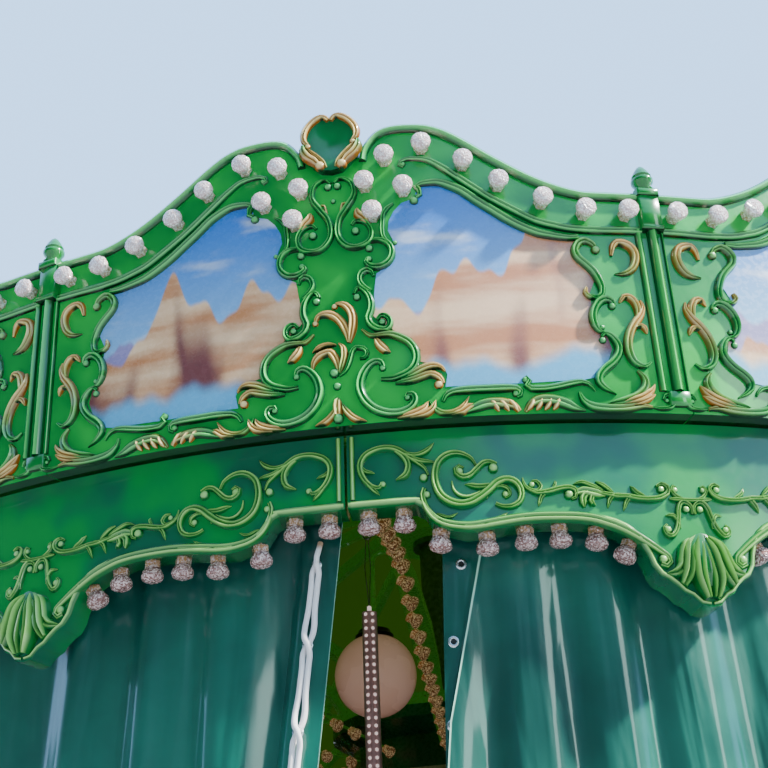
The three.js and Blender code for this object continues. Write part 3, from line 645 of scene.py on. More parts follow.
# Carved work stands off the board, so its lines lie a little lower than they look from below.
CARVING_DROP = 8.0
for flip in (False, True):
    scroll(crown, TOP_RIM, 33, (0.8, 1), height=22, spacing=20, section=ROUNDED, mirrored=flip)
crown.drop = CARVING_DROP
for flip in (False, True):
    carve = functools.partial(scroll, crown, mirrored=flip)
    carve(INNER_RIM, 32, (0.4, 1), height=15, spacing=15, knobs=[(223, 872, 9)])
    carve(PICTURE_HEAD, 35, (0.5, 0.7), height=20, spacing=15, knobs=[(249, 729, 15)])
    carve(PICTURE_SILL, 30, (0.4, 0.5), height=18, spacing=15, knobs=[(498, 60, 11)])
    carve(PICTURE_SILL_END, 25, (0.5, 0.3), height=16, spacing=15, knobs=[(529, 101, 11)])
    carve(HEART_SCROLL, 24, (0.5, 0.5), knobs=[(15, 812, 14), (66, 637, 15)])
    carve([(14, 640), (20, 700), (28, 745), (38, 748)], 10, gilt=(0.5, 0.7), section=ROUNDED)
    carve([(102, 662), (88, 684), (74, 698), (72, 722)], 30, (0.6, 0.15), (0.6, 0.9))
    carve([(185, 725), (167, 710), (153, 688), (149, 660), (147, 630), (150, 605), (162, 587), (175, 575)],
          19, knobs=[(183, 582, 9)])
    carve(RING_SCROLL, 24, knobs=[(105, 570, 14), (102, 532, 12)])
    carve([(113, 470), (108, 486), (96, 492), (80, 485), (72, 468), (74, 450), (86, 434), (104, 420)], 22)
    carve(HOOK_SCROLL, 25, (0.5, 0.5), knobs=[(61, 404, 13), (132, 313, 12)])
    carve(GREAT_S, 28, (0.3, 0.5), (0.4, 0.0))
    carve([(112, 258), (122, 238), (138, 220), (152, 212)], 31, (0.5, 0.2), (0.8, 1.0))
    carve(GREAT_C, 32, (0.5, 0.45), knobs=[(126, 164, 11), (192, 66, 10)])
    carve([(178, 124), (210, 137), (240, 152), (272, 159), (295, 152), (305, 140)], 28, (0.4, 0.2),
          (0.1, 0.9))
    carve([(160, 113), (200, 117), (230, 125), (262, 133), (288, 120), (297, 102)], 28, (0.4, 0.4),
          (0.1, 0.8), knobs=[(283, 99, 14)])
    carve([(8, 62), (14, 46), (27, 28), (46, 12), (74, 4)], 24, (0.3, 0.2), (0.3, 0.9))
    carve([(160, 6), (205, 14), (236, 28), (250, 50)], 28, (0.3, 0.1), (0.5, 1.0))
    carve([(185, 4), (230, 9), (258, 24), (271, 52)], 25, (0.3, 0.1), (0.7, 1.0))
    carve([(255, 52), (266, 28), (285, 12), (312, 10), (338, 20), (354, 38), (366, 58)], 21, (0.3, 0.1),
          (0.1, 0.8))
    carve([(310, 4), (345, 12), (364, 26), (386, 30)], 25, (0.4, 0.1), (0.5, 0.9))
    carve([(345, 6), (378, 22), (415, 33), (455, 32), (490, 22), (504, 6)], 37, (0.2, 0.4), (0.0, 0.6))
    carve([(519, 4), (538, 26), (565, 38), (600, 37), (635, 26), (662, 12), (692, 4)], 37, (0.3, 0.15),
          (0.4, 0.1))
    for tip, foot in ((424, 446), (448, 474), (474, 498), (546, 526), (570, 550), (596, 574), (618, 598)):
        carve([(tip, 41), ((tip + foot) / 2 + 3, 22), (foot, 5)], 16, (0.2, 0.3), (0.9, 0.7), height=13,
               section=ROUNDED, base=7)
    carve([(680, 60), (687, 36), (708, 18), (745, 10), (800, 10), (850, 18), (885, 14)], 32, (0.3, 0.4),
          (0.0, 0.5))
    carve([(858, 128), (873, 108), (875, 84), (862, 61), (838, 43), (800, 30), (752, 22)], 31, (0.3, 0.2),
          (0.3, 0.2))
    carve([(901, 84), (889, 64), (866, 46), (835, 33), (798, 22)], 25, (0.15, 0.3), (0.9, 0.5), base=4)
    carve([(898, 52), (878, 38), (850, 26), (820, 18)], 20, (0.15, 0.3), (0.9, 0.6), base=5)
    carve([(884, 16), (912, 11), (938, 16), (951, 32), (944, 49), (927, 50), (921, 38)], 18,
          knobs=[(931, 36, 8)])
    carve(END_S_TOP, 30, (0.5, 0.4), (0.3, 0.1), knobs=[(784, 532, 15)])
    carve([(741, 400), (735, 382), (747, 367), (766, 362)], 19, (0.6, 0.3), (0.7, 0.1))
    carve([(816, 338), (812, 352), (795, 360), (775, 352), (757, 330), (748, 300), (752, 270), (765, 252),
           (782, 250)], 30, (0.5, 0.3), knobs=[(810, 338, 13), (772, 267, 9)])
    carve([(764, 236), (776, 246), (792, 240), (806, 221), (812, 199), (805, 175), (785, 150), (760, 130),
           (743, 110), (741, 90), (758, 70), (786, 54)], 30, (0.4, 0.15), (0.0, 0.2), knobs=[(767, 224, 12)])
    carve([(830, 512), (838, 545), (852, 559), (874, 557), (894, 545), (904, 520), (900, 490), (885, 463),
           (860, 449), (833, 448)], 30, (0.3, 0.15), (0.9, 0.3))
    carve([(834, 350), (848, 369), (868, 367), (881, 350), (886, 325), (880, 296)], 26, (0.2, 0.3),
          (0.8, 0.4))
    carve([(899, 360), (903, 335), (890, 305), (870, 280), (852, 250), (842, 215), (842, 180), (855, 152),
           (880, 142), (902, 156)], 31, (0.2, 0.3), (0.9, 0.0))
    carve([(860, 262), (880, 274), (897, 268), (904, 248)], 20, (0.3, 0.2), (0.3, 0.9))

# The plume and the flower in the middle are not the same on both sides.
scroll(crown, [(-3, 388), (17, 386), (35, 370), (45, 345), (46, 320), (42, 290), (34, 255)], 29, (0.4, 0.3),
       (0.9, 0.6), knobs=[(-7, 380, 10)])
scroll(crown,
       [(-66, 336), (-60, 350), (-42, 357), (-22, 355), (-4, 345), (11, 327), (21, 307), (28, 285),
        (31, 256)], 29, (0.4, 0.3), (0.9, 0.6), knobs=[(-66, 330, 10)])
scroll(crown, [(-77, 235), (-55, 250), (-30, 255), (-5, 252)], 20, (0.2, 0.4), (0.8, 0.5))
scroll(crown, [(2, 257), (15, 240), (17, 215), (12, 190), (2, 160)], 22, (0.3, 0.4), (0.7, 0.3))
scroll(crown, [(-78, 178), (-75, 200), (-60, 220), (-40, 228), (-24, 229), (-12, 214), (-3, 190), (0, 165)],
       28, (0.2, 0.4), (1, 0.5))
scroll(crown,
       [(0, 152), (17, 165), (27, 185), (35, 210), (42, 230), (52, 237), (75, 232), (84, 216), (76, 202),
        (62, 200)], 19, (0.4, 0.5))
scroll(crown, [(-5, 84), (-8, 60), (-7, 30)], 30, (0.2, 0.9), (0.4, 0.7))
for knob in ((-14, 162, 16), (-7, 120, 13), (-7, 20, 17), (0, 757, 9)):
    ball(crown, *knob, gilt=0.15)
crown.drop = 0.0

# The cartouche: a heart-shaped dish with a scrolled gilt rim, standing up above the board.
CARTOUCHE_RISE = 26.0
DISH_DEPTH = 20.0
CARTOUCHE_EDGE = [(0, 852), (34, 858), (60, 884), (84, 912), (89, 950), (86, 985), (80, 1018), (62, 1042),
                  (40, 1064), (18, 1066), (0, 1054)]
outline = CARTOUCHE_EDGE + [(-u, v) for u, v in reversed(CARTOUCHE_EDGE[1:-1])]
plate(crown, [(-99, 840), (99, 840), (103, 905), (60, 915), (-60, 925), (-103, 925)], 60.0, lambda u, v: -2.0,
      lambda u, v: -40.0)


def dish(u, v):
    """Height of the cartouche's hollow face above the board."""
    return CARTOUCHE_RISE - DISH_DEPTH * math.exp(-((u / 48) ** 2 + ((v - 970) / 62) ** 2))


plate(crown, outline, 16.0, dish, lambda u, v: -30.0, WELL)
for flip in (False, True):
    carve = functools.partial(scroll, crown, mirrored=flip, base=CARTOUCHE_RISE - 4)
    carve([(3, 1050), (12, 1062), (28, 1066), (46, 1057), (62, 1042), (76, 1022), (84, 998), (82, 976),
           (70, 960)], 28, (0.6, 0.4), (1.0, 0.8), knobs=[(71, 956, 10)], height=18)
    carve([(88, 962), (87, 935), (72, 910), (52, 892), (37, 872)], 31, (0.4, 0.6), (0.2, 1.0),
          knobs=[(34, 872, 18)], height=20)
    carve([(74, 950), (60, 930), (40, 908), (22, 884), (14, 864)], 15, (0.3, 0.4), (0.7, 0.5), height=14)

# The post: three round ribs, a square block with two ledges, and an acorn finial.
POST_RELIEF = 26.0
POST_FOOT = 56.0
POST_BLOCK = 600.0
POST_HEAD = 742.0
for middle, width, proud in ((925, 24, 14), (POST_MIDDLE, 34, POST_RELIEF), (1001, 8, 10)):
    scroll(crown, [(middle, v) for v in (POST_FOOT, 200, 400, POST_BLOCK)], width, (1, 1), height=proud,
           section=ROUNDED, spacing=60)


def slab(carving, u0, u1, v0, v1, rise, bevel=5.0):
    """A block on the board with chamfered edges."""
    outer = [(u0, v0), (u1, v0), (u1, v1), (u0, v1)]
    inner = [(u0 + bevel, v0 + bevel), (u1 - bevel, v0 + bevel), (u1 - bevel, v1 - bevel),
             (u0 + bevel, v1 - bevel)]
    points = [(*p, -20.0) for p in outer] + [(*p, rise - bevel) for p in outer] + [(*p, rise) for p in inner]
    faces = [(3, 2, 1, 0), (8, 9, 10, 11)]
    for ring in (0, 4):
        faces.extend((ring + i, ring + (i + 1) % 4, ring + 4 + (i + 1) % 4, ring + 4 + i) for i in range(4))
    carving.add(points, faces, 0.0, 0.6)


post_left, post_right = POST_MIDDLE - POST_WIDTH / 2, POST_MIDDLE + POST_WIDTH / 2
slab(crown, post_left, post_right, POST_BLOCK, POST_HEAD - 20, POST_RELIEF)
slab(crown, post_left - 4, post_right, POST_BLOCK - 8, POST_BLOCK + 8, POST_RELIEF + 6)
slab(crown, post_left - 4, post_right, POST_HEAD - 26, POST_HEAD, POST_RELIEF + 8)
slab(crown, post_left, post_right, 8, POST_FOOT, 16)

FINIAL_SIDES = 16
FINIAL = [(0, 0), (31, 0), (33, 6), (22, 14), (27, 26), (34, 36), (35, 46), (28, 54), (31, 60), (24, 76),
          (14, 92), (5, 101), (0, 103)]


def turned(profile, sides):
    """A turned shape about +Z from a (radius, height) profile in mm that starts and ends on the axis."""
    points = []
    rings = []
    for radius, height in profile:
        if radius == 0:
            rings.append([len(points)])
            points.append((0, 0, height))
        else:
            rings.append(list(range(len(points), len(points) + sides)))
            points.extend((radius * math.cos(a), radius * math.sin(a), height) for a in circle(sides))
    faces = []
    for low, high in zip(rings, rings[1:]):
        for i in range(sides):
            j = (i + 1) % sides
            corners = [low[i % len(low)], low[j % len(low)], high[j % len(high)], high[i % len(high)]]
            faces.append(tuple(dict.fromkeys(corners)))
    return points, faces


finial_points, finial_faces = turned(FINIAL, FINIAL_SIDES)
crown.add([(POST_MIDDLE - 2 + x, POST_HEAD + z, -y) for x, y, z in finial_points], finial_faces, 0.0, 0.7)
crown_mesh = build_mesh("crown_front", crown, on_ring)


def noise(tree, place, scale, detail=2.0, **more):
    """Soft noise over a surface, from 0 to 1."""
    inputs = {"Vector": place, "Scale": scale, "Detail": detail, **more}
    return add_node(tree, "ShaderNodeTexNoise", inputs).outputs["Fac"]


def place_of(tree):
    """Where a point lies on the carousel, in metres."""
    return add_node(tree, "ShaderNodeTexCoord").outputs["Object"]


def painted_value(tree, name):
    """A value that the mesh carries at each point."""
    return add_node(tree, "ShaderNodeAttribute", attribute_name=name).outputs["Fac"]


def upward_share(tree):
    """How far the surface faces up, from -1 to 1."""
    return part_of(tree, tree.nodes.new("ShaderNodeNewGeometry").outputs["Normal"], "Z")


def new_group(name, inputs, outputs):
    """An empty shader node group with named sockets; an input is (kind, name, default)."""
    group = bpy.data.node_groups.new(name, "ShaderNodeTree")
    for kind, label, default in inputs:
        socket = group.interface.new_socket(label, in_out="INPUT", socket_type="NodeSocket" + kind)
        if default is not None:
            socket.default_value = default
    for kind, label in outputs:
        group.interface.new_socket(label, in_out="OUTPUT", socket_type="NodeSocket" + kind)
    return group, group.nodes.new("NodeGroupInput").outputs, group.nodes.new("NodeGroupOutput")


# Hand-laid enamel: two tones blown into each other in soft patches, with fine dulling.
LEAST_DULLNESS = 0.2
enamel_group, given, result = new_group(
    "blown_enamel",
    [("Color", "Deep", None), ("Color", "Bright", None), ("Float", "Patch", 3.0), ("Float", "Dulling", 0.15)],
    [("Color", "Color"), ("Float", "Roughness"), ("Vector", "Normal")],
)
place = place_of(enamel_group)
patches = spread(enamel_group, noise(enamel_group, place, given["Patch"]), 0.38, 0.64)
specks = spread(enamel_group, noise(enamel_group, place, 60.0, 3.0), 0.35, 0.7)
give(enamel_group, result, {
    "Color": mixed(enamel_group, patches, given["Deep"], given["Bright"]),
    "Roughness": calculated(enamel_group, "MULTIPLY_ADD", specks, given["Dulling"], LEAST_DULLNESS),
    "Normal": bumped(enamel_group, noise(enamel_group, place, 34.0, 1.0), 0.25, 0.002),
})


def enamel(tree, deep, bright, patch=3.0, dulling=0.15):
    """The enamel group placed in a material; hand back its outputs."""
    inputs = {"Deep": deep, "Bright": bright, "Patch": patch, "Dulling": dulling}
    return add_node(tree, "ShaderNodeGroup", node_tree=enamel_group, inputs=inputs).outputs


def painted(name, field, relief, gold, underside_painted_light, coat=0.7):
    """Gloss paint on a carved board: a blown field, relief and gilding with painted shade in their grooves
    and painted highlight on their crests, and painted shade on faces turned down.
    """
    material, tree, shader = blank_material(name)
    ground = enamel(tree, *field, patch=3.6, dulling=0.05)
    # Relief and gilding are painted darker in their grooves and lighter on their crests: painted shade and
    # painted highlight.
    crest = painted_value(tree, "crest")
    carved = mixed(tree, spread(tree, crest, 0.5, 1.1), *relief)
    shaded_gilding = mixed(tree, spread(tree, crest, 0.45, 1.05), *gold)
    green = mixed(tree, painted_value(tree, "raised"), ground["Color"], carved)
    paint = mixed(tree, spread(tree, painted_value(tree, "gilt"), 0.15, 0.75), green, shaded_gilding)
    # Faces turned down take the underside colour: a dark painted shade on the crown, a green near the field
    # on the valance.
    give(tree, shader, {
        "Base Color": mixed(tree, spread(tree, upward_share(tree), -0.82, -0.97), paint, underside_painted_light),
        "Roughness": ground["Roughness"],
        "Normal": ground["Normal"],
        "Coat Weight": coat,
        "Coat Roughness": 0.05,
        "Specular IOR Level": 0.25,
    })
    return material


# The gold and relief pairs run from the painted shade of grooves to the painted highlight of crests.
GOLD_LEAF_SHADE_AND_HIGHLIGHT = (linear(150, 88, 18), linear(255, 230, 148))
# The crown's undersides are painted this dark green as painted shade.
CROWN_UNDERSIDE_SHADE = linear(0, 44, 18)
crown_field = (linear(8, 142, 54), linear(18, 178, 66))
crown_relief_shade_and_highlight = (linear(2, 86, 34), linear(88, 220, 108))
crown_paint = painted("crown_enamel", crown_field, crown_relief_shade_and_highlight, GOLD_LEAF_SHADE_AND_HIGHLIGHT, CROWN_UNDERSIDE_SHADE)
well_field = (linear(0, 92, 44), linear(0, 126, 64))
well_relief_shade_and_highlight = (linear(10, 108, 52), linear(110, 210, 110))
well_paint = painted("cartouche_enamel", well_field, well_relief_shade_and_highlight, GOLD_LEAF_SHADE_AND_HIGHLIGHT, CROWN_UNDERSIDE_SHADE, coat=0.3)

# The pictures: sandstone crags in tan, cream and mauve, under a blue sky with thin cloud.
picture_paint, tree, shader = blank_material("airbrushed_landscape")
spot = add_node(tree, "ShaderNodeUVMap", uv_map="board").outputs["UV"]
rise = part_of(tree, spot, "Y")


def drift(scale, stretch, detail=2.0, offset=0.0):
    """Noise over the picture, stretched up or along it."""
    moved = add_node(tree, "ShaderNodeMapping",
                     {"Vector": spot, "Location": (offset, offset, 0), "Scale": stretch})
    return noise(tree, moved.outputs["Vector"], scale, detail)


def skyline(waves, height, foot):
    """A skyline of a height over the picture's foot; hand back how far a point lies below it."""
    return calculated(tree, "SUBTRACT", calculated(tree, "MULTIPLY_ADD", waves, height, foot), rise)


sky_blue = mixed(tree, spread(tree, rise, 0.1, 0.8), linear(150, 205, 240), linear(44, 120, 214))
sky_blue = mixed(tree, spread(tree, drift(3.0, (1, 3.2, 1), 4.0), 0.5, 0.78), sky_blue, linear(226, 236, 250))
far_stone = mixed(tree, drift(7.0, (1, 2, 1)), linear(120, 108, 168), linear(176, 160, 204))
far_fall = skyline(drift(4.0, (1, 0, 1), 3.0, 4.0), 0.5, 0.08)
crag_fall = skyline(drift(2.3, (1, 0, 1), 3.0), 1.75, -0.42)
near_fall = skyline(drift(5.0, (1, 0, 1), 2.0, 9.0), 0.24, 0.04)
strata = drift(3.2, (0.6, 3.0, 1), 3.0, 2.0)
lit_stone = mixed(tree, spread(tree, strata, 0.38, 0.64), linear(206, 136, 90), linear(250, 208, 166))
turned_away = spread(tree, drift(3.0, (1.7, 0.45, 1), 2.0, 7.0), 0.5, 0.66)
shadow = calculated(tree, "MULTIPLY", turned_away, spread(tree, crag_fall, 0.0, 0.22))
crag_stone = mixed(tree, shadow, lit_stone, linear(120, 66, 70))
landscape = sky_blue
for fall, softness, tone in ((far_fall, 0.012, far_stone), (crag_fall, 0.01, crag_stone),
                             (near_fall, 0.03, linear(96, 180, 226))):
    landscape = mixed(tree, spread(tree, fall, -softness, softness), landscape, tone)
give(tree, shader, {
    "Base Color": landscape,
    "Roughness": spread(tree, noise(tree, spot, 55.0), 0.3, 0.7, 0.18, 0.34),
    "Coat Weight": 0.6,
    "Coat Roughness": 0.06,
})

crown_fronts = at_bays(crown_mesh, (crown_paint, picture_paint, well_paint), "crown_front", "crown_panel")
# Each board's pictures show a stretch of the landscape this far on from its neighbour's, in metres.
PICTURE_STEP = 5.3
for bay, piece in enumerate(crown_fronts):
    layer = piece.data.uv_layers["board"].data
    values = np.zeros(len(layer) * 2)
    layer.foreach_get("uv", values)
    values[0::2] += bay * PICTURE_STEP
    layer.foreach_set("uv", values)

# Valance panels
# Below the crown hang twelve shorter boards of the same moulded glassfibre, painted teal, with a
# bead along the wavy lower edge, a running vine above it and a scallop shell in the middle. Each is
# screwed to the rim, and a narrow gap is left between neighbours, at the middle of a crown board.
VALANCE_FACE = 3600.0
VALANCE_DEPTH = 85.0
VALANCE_GAP = 8.0
VALANCE_HEAD = -10.4
VALANCE_EDGE = [
    (0, -550), (26, -545), (46, -524), (70, -512), (84, -494), (104, -478), (126, -466), (140, -440),
    (146, -412), (160, -380), (182, -350), (228, -321), (310, -304), (430, -301), (548, -314), (632, -322),
    (718, -298), (750, -250), (774, -236), (960, -236),
]
TRACED_HALF = 986.0
TRACED_DROP = 6.0


def from_joint(points):
    """Points traced from the gap between two valance boards, as distances from a board's middle."""
    return [((u - TRACED_HALF) * HALF_BAY / TRACED_HALF, v - TRACED_DROP) for u, v in points]


def valance_foot(u):
    """Height of the valance's cut edge at arc length u from the shell."""
    return float(np.interp(abs(u), [p[0] for p in VALANCE_EDGE], [p[1] for p in VALANCE_EDGE]))


valance = Carving()
valance_end = HALF_BAY - VALANCE_GAP / 2
half_stations = [0, 13, 26, 36, 46, 58, 70, 84, 104, 115, 126, 140, 146, 153, 160, 182, 205, 228, 270, 310,
                 370, 430, 490, 548, 590, 632, 675, 718, 735, 750, 774, 830, 890]
valance_stations = [-valance_end, *[-u for u in reversed(half_stations[1:])], *half_stations, valance_end]
VALANCE_ROWS = 7
board(valance, valance_stations, valance_foot, lambda u: VALANCE_HEAD, VALANCE_ROWS, VALANCE_DEPTH,
      VALANCE_DEPTH)

SILL = from_joint([(14, -222), (110, -222), (212, -222)])
MAIN_BEAD = from_joint([
    (226, -190), (220, -208), (225, -236), (238, -262), (258, -284), (290, -299), (337, -307), (375, -306),
    (420, -300), (465, -294), (510, -290), (555, -289), (600, -290), (645, -292), (690, -298), (727, -309),
    (765, -324), (802, -345), (840, -371), (866, -391), (887, -408), (891, -424), (878, -435), (862, -428),
])
LIP_STATIONS = (-962, -870, -776, -752, -722, -680, -632, -548, -430, -310, -228, -182, -160, -146, -138,
                -122, -102, -82, -67, -46, -26, -4)
LOWER_LIP = [(u, valance_foot(u) + 9) for u in LIP_STATIONS]
OUTER_LOOP = from_joint([
    (378, -128), (368, -108), (345, -93), (318, -88), (292, -95), (270, -115), (260, -145), (260, -180),
    (272, -212), (295, -232), (325, -242), (355, -238), (385, -222), (410, -203), (430, -186), (455, -176),
    (480, -180), (496, -198), (500, -222), (490, -245), (468, -256), (442, -255), (424, -246),
])
INNER_LOOP = from_joint([(438, -128), (420, -120), (400, -123), (380, -140), (360, -158), (338, -163),
                         (320, -150), (318, -136), (330, -127), (342, -134)])
SIDE_SCROLL = from_joint([(106, -164), (98, -178), (78, -174), (58, -155), (45, -128), (44, -100), (58, -76),
                          (85, -62), (115, -57), (145, -61), (170, -75), (195, -95), (215, -112), (232, -128),
                          (241, -150)])
VINE_STEM = from_joint([(516, -202), (545, -218), (575, -216), (610, -208), (640, -206), (656, -216),
                        (652, -236), (640, -240)])
VINE_END = from_joint([(700, -218), (740, -226), (770, -233), (800, -234), (830, -240), (865, -242),
                       (895, -238), (918, -225), (922, -206), (906, -196), (891, -204)])
VALANCE_KNOBS = [(232, -208, 12), (871, -415, 15), (226, -157, 14), (108, -168, 11), (427, -139, 16),
                 (329, -145, 14), (454, -219, 11), (532, -194, 10), (634, -226, 15), (903, -213, 12)]
for flip in (False, True):
    carve = functools.partial(scroll, valance, mirrored=flip)
    carve(from_joint([(20, -14), (20, -110), (20, -208)]), 17, (1, 1), height=10, section=ROUNDED, spacing=60)
    carve(SILL, 24, (1, 0.8), height=15, section=ROUNDED, spacing=30)
    carve(MAIN_BEAD, 33, (0.5, 0.5), height=20, spacing=14)
    carve(LOWER_LIP, 20, (1, 0.5), height=12, section=ROUNDED, spacing=24)
    for u, v, size in VALANCE_KNOBS:
        ball(valance, *from_joint([(u, v)])[0], size, mirrored=flip)
    carve(SIDE_SCROLL, 24, (0.5, 0.3), gilt=(0.1, 0.0))
    carve(from_joint([(58, -150), (75, -175), (98, -199)]), 17, (0.4, 0.1))
    carve(from_joint([(46, -108), (60, -124), (86, -132)]), 16, (0.5, 0.2), gilt=(0.0, 0.3))
    carve(from_joint([(140, -62), (170, -85), (184, -115), (175, -145), (146, -158)]), 24, (0.4, 0.2),
          gilt=(0, 0.3))
    carve(from_joint([(160, -72), (205, -86), (240, -74), (262, -50)]), 20, (0.4, 0.1))
    carve(from_joint([(180, -86), (220, -105), (264, -112)]), 20, (0.5, 0.1))
    carve(OUTER_LOOP, 28, (0.3, 0.4), height=22)
    carve(INNER_LOOP, 20, (0.5, 0.5))
    carve(from_joint([(306, -172), (308, -195), (322, -214), (345, -221), (372, -214), (402, -198)]), 12,
          (0.5, 0.3), section=ROUNDED)
    carve(from_joint([(400, -230), (408, -206), (428, -195), (450, -195), (466, -206), (466, -222),
                      (452, -230)]), 15, (0.3, 0.5))
    carve(from_joint([(424, -190), (382, -194), (341, -184)]), 18, (0.5, 0.1))
    carve(from_joint([(256, -264), (290, -277), (316, -266)]), 11, (0.4, 0.1))
    carve(from_joint([(404, -290), (434, -285), (456, -272)]), 11, (0.4, 0.1))
    carve(from_joint([(508, -172), (512, -196), (528, -210), (546, -212), (556, -200), (546, -184),
                      (532, -183)]), 15, (0.3, 0.5))
    carve(VINE_STEM, 21, (0.5, 0.4))
    carve(from_joint([(578, -214), (556, -230), (544, -258)]), 15, (0.6, 0.15))
    carve(from_joint([(588, -208), (597, -197), (600, -182)]), 12, (0.6, 0.1))
    carve(from_joint([(652, -222), (676, -216), (706, -222), (738, -230)]), 36, (0.4, 0.3), height=17)
    carve(from_joint([(690, -222), (672, -240), (674, -264)]), 26, (0.6, 0.3), height=19)
    carve(from_joint([(704, -226), (694, -248), (706, -260)]), 20, (0.6, 0.2))
    carve(from_joint([(650, -196), (674, -190), (704, -201), (734, -216)]), 17, (0.2, 0.5))
    carve(from_joint([(716, -188), (735, -199), (762, -222)]), 16, (0.2, 0.5))
    carve(VINE_END, 21, (0.5, 0.4))
    carve(from_joint([(794, -230), (765, -232), (748, -245), (740, -268)]), 16, (0.5, 0.15))
    carve(from_joint([(838, -238), (812, -236), (796, -250), (784, -276)]), 16, (0.5, 0.15))
    carve(from_joint([(852, -236), (828, -222), (815, -202)]), 16, (0.6, 0.15))
    carve([(-62, -246), (-30, -250), (0, -251)], 18, (0.3, 1))
    carve([(-18, -248), (-38, -241), (-51, -224), (-45, -208), (-34, -212)], 14, (0.5, 0.5))
    carve([(-6, -292), (-3, -274), (-14, -260), (-31, -259), (-42, -277), (-48, -306), (-58, -336),
           (-75, -356), (-91, -349), (-94, -331), (-84, -322)], 18, (0.5, 0.5))
    carve([(-82, -296), (-62, -295), (-50, -311), (-47, -334)], 16, (0.2, 0.4))
    for u, v, size in ((-41, -220, 10), (-20, -278, 12), (-83, -337, 12)):
        ball(valance, u, v, size, mirrored=flip)
    carve([(-20, -364), (-46, -388), (-58, -420), (-66, -446), (-86, -460), (-110, -462)], 40, (0.4, 0.2),
          height=32)
    carve([(-12, -360), (-34, -390), (-44, -430), (-54, -464), (-72, -494)], 48, (0.35, 0.5), height=41)
    carve([(-4, -360), (-13, -400), (-19, -440), (-21, -484), (-10, -530)], 46, (0.35, 0.5), height=48)

# The domed middle of the shell, under its strokes.
DOME_EDGE = [(-62, -425), (-52, -385), (-27, -361), (0, -352), (27, -361), (52, -385), (62, -425), (44, -476),
             (0, -500), (-44, -476)]
DOME_RISE = 33.0


def dome(u, v):
    """Height of the shell's middle above the board."""
    return DOME_RISE - 20 * (u / 62) ** 2 - 14 * min(1.0, abs(v + 425) / 75) ** 2


plate(valance, DOME_EDGE, 13.0, dome, lambda u, v: -6.0, raised=1.0)

# The relief and gold pairs run from the painted shade of grooves to the painted highlight of crests.
valance_field = (linear(0, 98, 68), linear(0, 142, 58))
valance_relief_shade_and_highlight = (linear(8, 110, 40), linear(172, 232, 124))
valance_gold_shade_and_highlight = (linear(150, 150, 60), linear(200, 200, 110))
valance_paint = painted("valance_enamel", valance_field, valance_relief_shade_and_highlight, valance_gold_shade_and_highlight, linear(0, 104, 48))
valance_mesh = build_mesh("valance_front", valance, lambda u, v, rise: on_ring(u, v, rise, VALANCE_FACE, 0.0))
at_bays(valance_mesh, (valance_paint,), "valance_front", "valance_panel", first_turn=BAY_ANGLE / 2)

# Lamps
# Screw-in funfair cabochons: a clear moulded dome with fine facets on a fluted neck, 60 mm across.
# Twenty stand on each crown board and sixteen hang from each valance board, in sockets in the moulding.
LAMP_PROFILE = [(0, 0), (19, 0), (22, 5), (21, 20), (23, 25), (28, 33), (31.5, 42), (32, 49), (29, 56),
                (19, 61.5), (0, 63.5)]
LAMP_SIDES = 12
NECK_HEIGHT = 24.0
FLUTE_DEPTH = 0.09
SOCKET_DEPTH = 3.0
CROWN_LAMPS = [(101, 789), (166, 881), (282, 916), (405, 843), (507, 759), (635, 691), (761, 651), (892, 651),
               (121, 675), (218, 759)]
VALANCE_LAMPS = [(57, 0.0), (159, 0.0), (262, 0.12), (389, 0.05), (496, 0.0), (594, 0.02), (698, 0.1),
                 (790, 0.5)]

lamp_points, lamp_faces = turned(LAMP_PROFILE, LAMP_SIDES)
lamp_places = np.array(lamp_points)
turns = np.arctan2(lamp_places[:, 1], lamp_places[:, 0])
neck = (lamp_places[:, 2] < NECK_HEIGHT) & (np.hypot(lamp_places[:, 0], lamp_places[:, 1]) > 1)
flutes = np.where(neck, 1 + FLUTE_DEPTH * np.cos(turns * LAMP_SIDES / 2), 1.0)
lamp_places[:, :2] *= flutes[:, None]
lamp_template_mesh = bpy.data.meshes.new("lamp")
lamp_template_mesh.from_pydata((lamp_places / 1000).tolist(), [], lamp_faces)
lamp_template_mesh.attributes.new("neck", "FLOAT", "POINT").data.foreach_set("value", neck.astype(float))
lamp_template = placed("lamp_template", lamp_template_mesh)


def cabochon(name, dark, painted_highlight, neck_tone, fineness=200.0):
    """Moulded plastic with bumped facets and pale cells painted in as glints, and a warmer fluted neck."""
    material, tree, shader = blank_material(name)
    place = place_of(tree)
    facets = add_node(tree, "ShaderNodeTexVoronoi",
                      {"Vector": place, "Scale": 0.75 * fineness}).outputs["Distance"]
    painted_glints = add_node(tree, "ShaderNodeTexVoronoi", {"Vector": place, "Scale": fineness}).outputs["Color"]
    body = mixed(tree, painted_value(tree, "neck"), dark, neck_tone)
    faceted = bumped(tree, facets, 0.9, 0.004)
    # Pale cells are painted into the base colour as painted glints.
    give(tree, shader, {
        "Base Color": mixed(tree, spread(tree, painted_glints, 0.35, 0.85), body, painted_highlight),
        "Normal": faceted,
        "Coat Normal": faceted,
        "Roughness": 0.12,
        "Coat Weight": 1.0,
        "Coat Roughness": 0.03,
        "IOR": 1.49,
    })
    return material


lamp_glass = cabochon("clear_cabochon", linear(230, 196, 188), linear(255, 250, 246, 0.95),
                      linear(214, 176, 140), 260.0)
smoked_glass = cabochon("shaded_cabochon", linear(146, 98, 90), linear(248, 216, 210), linear(206, 150, 100),
                        230.0)


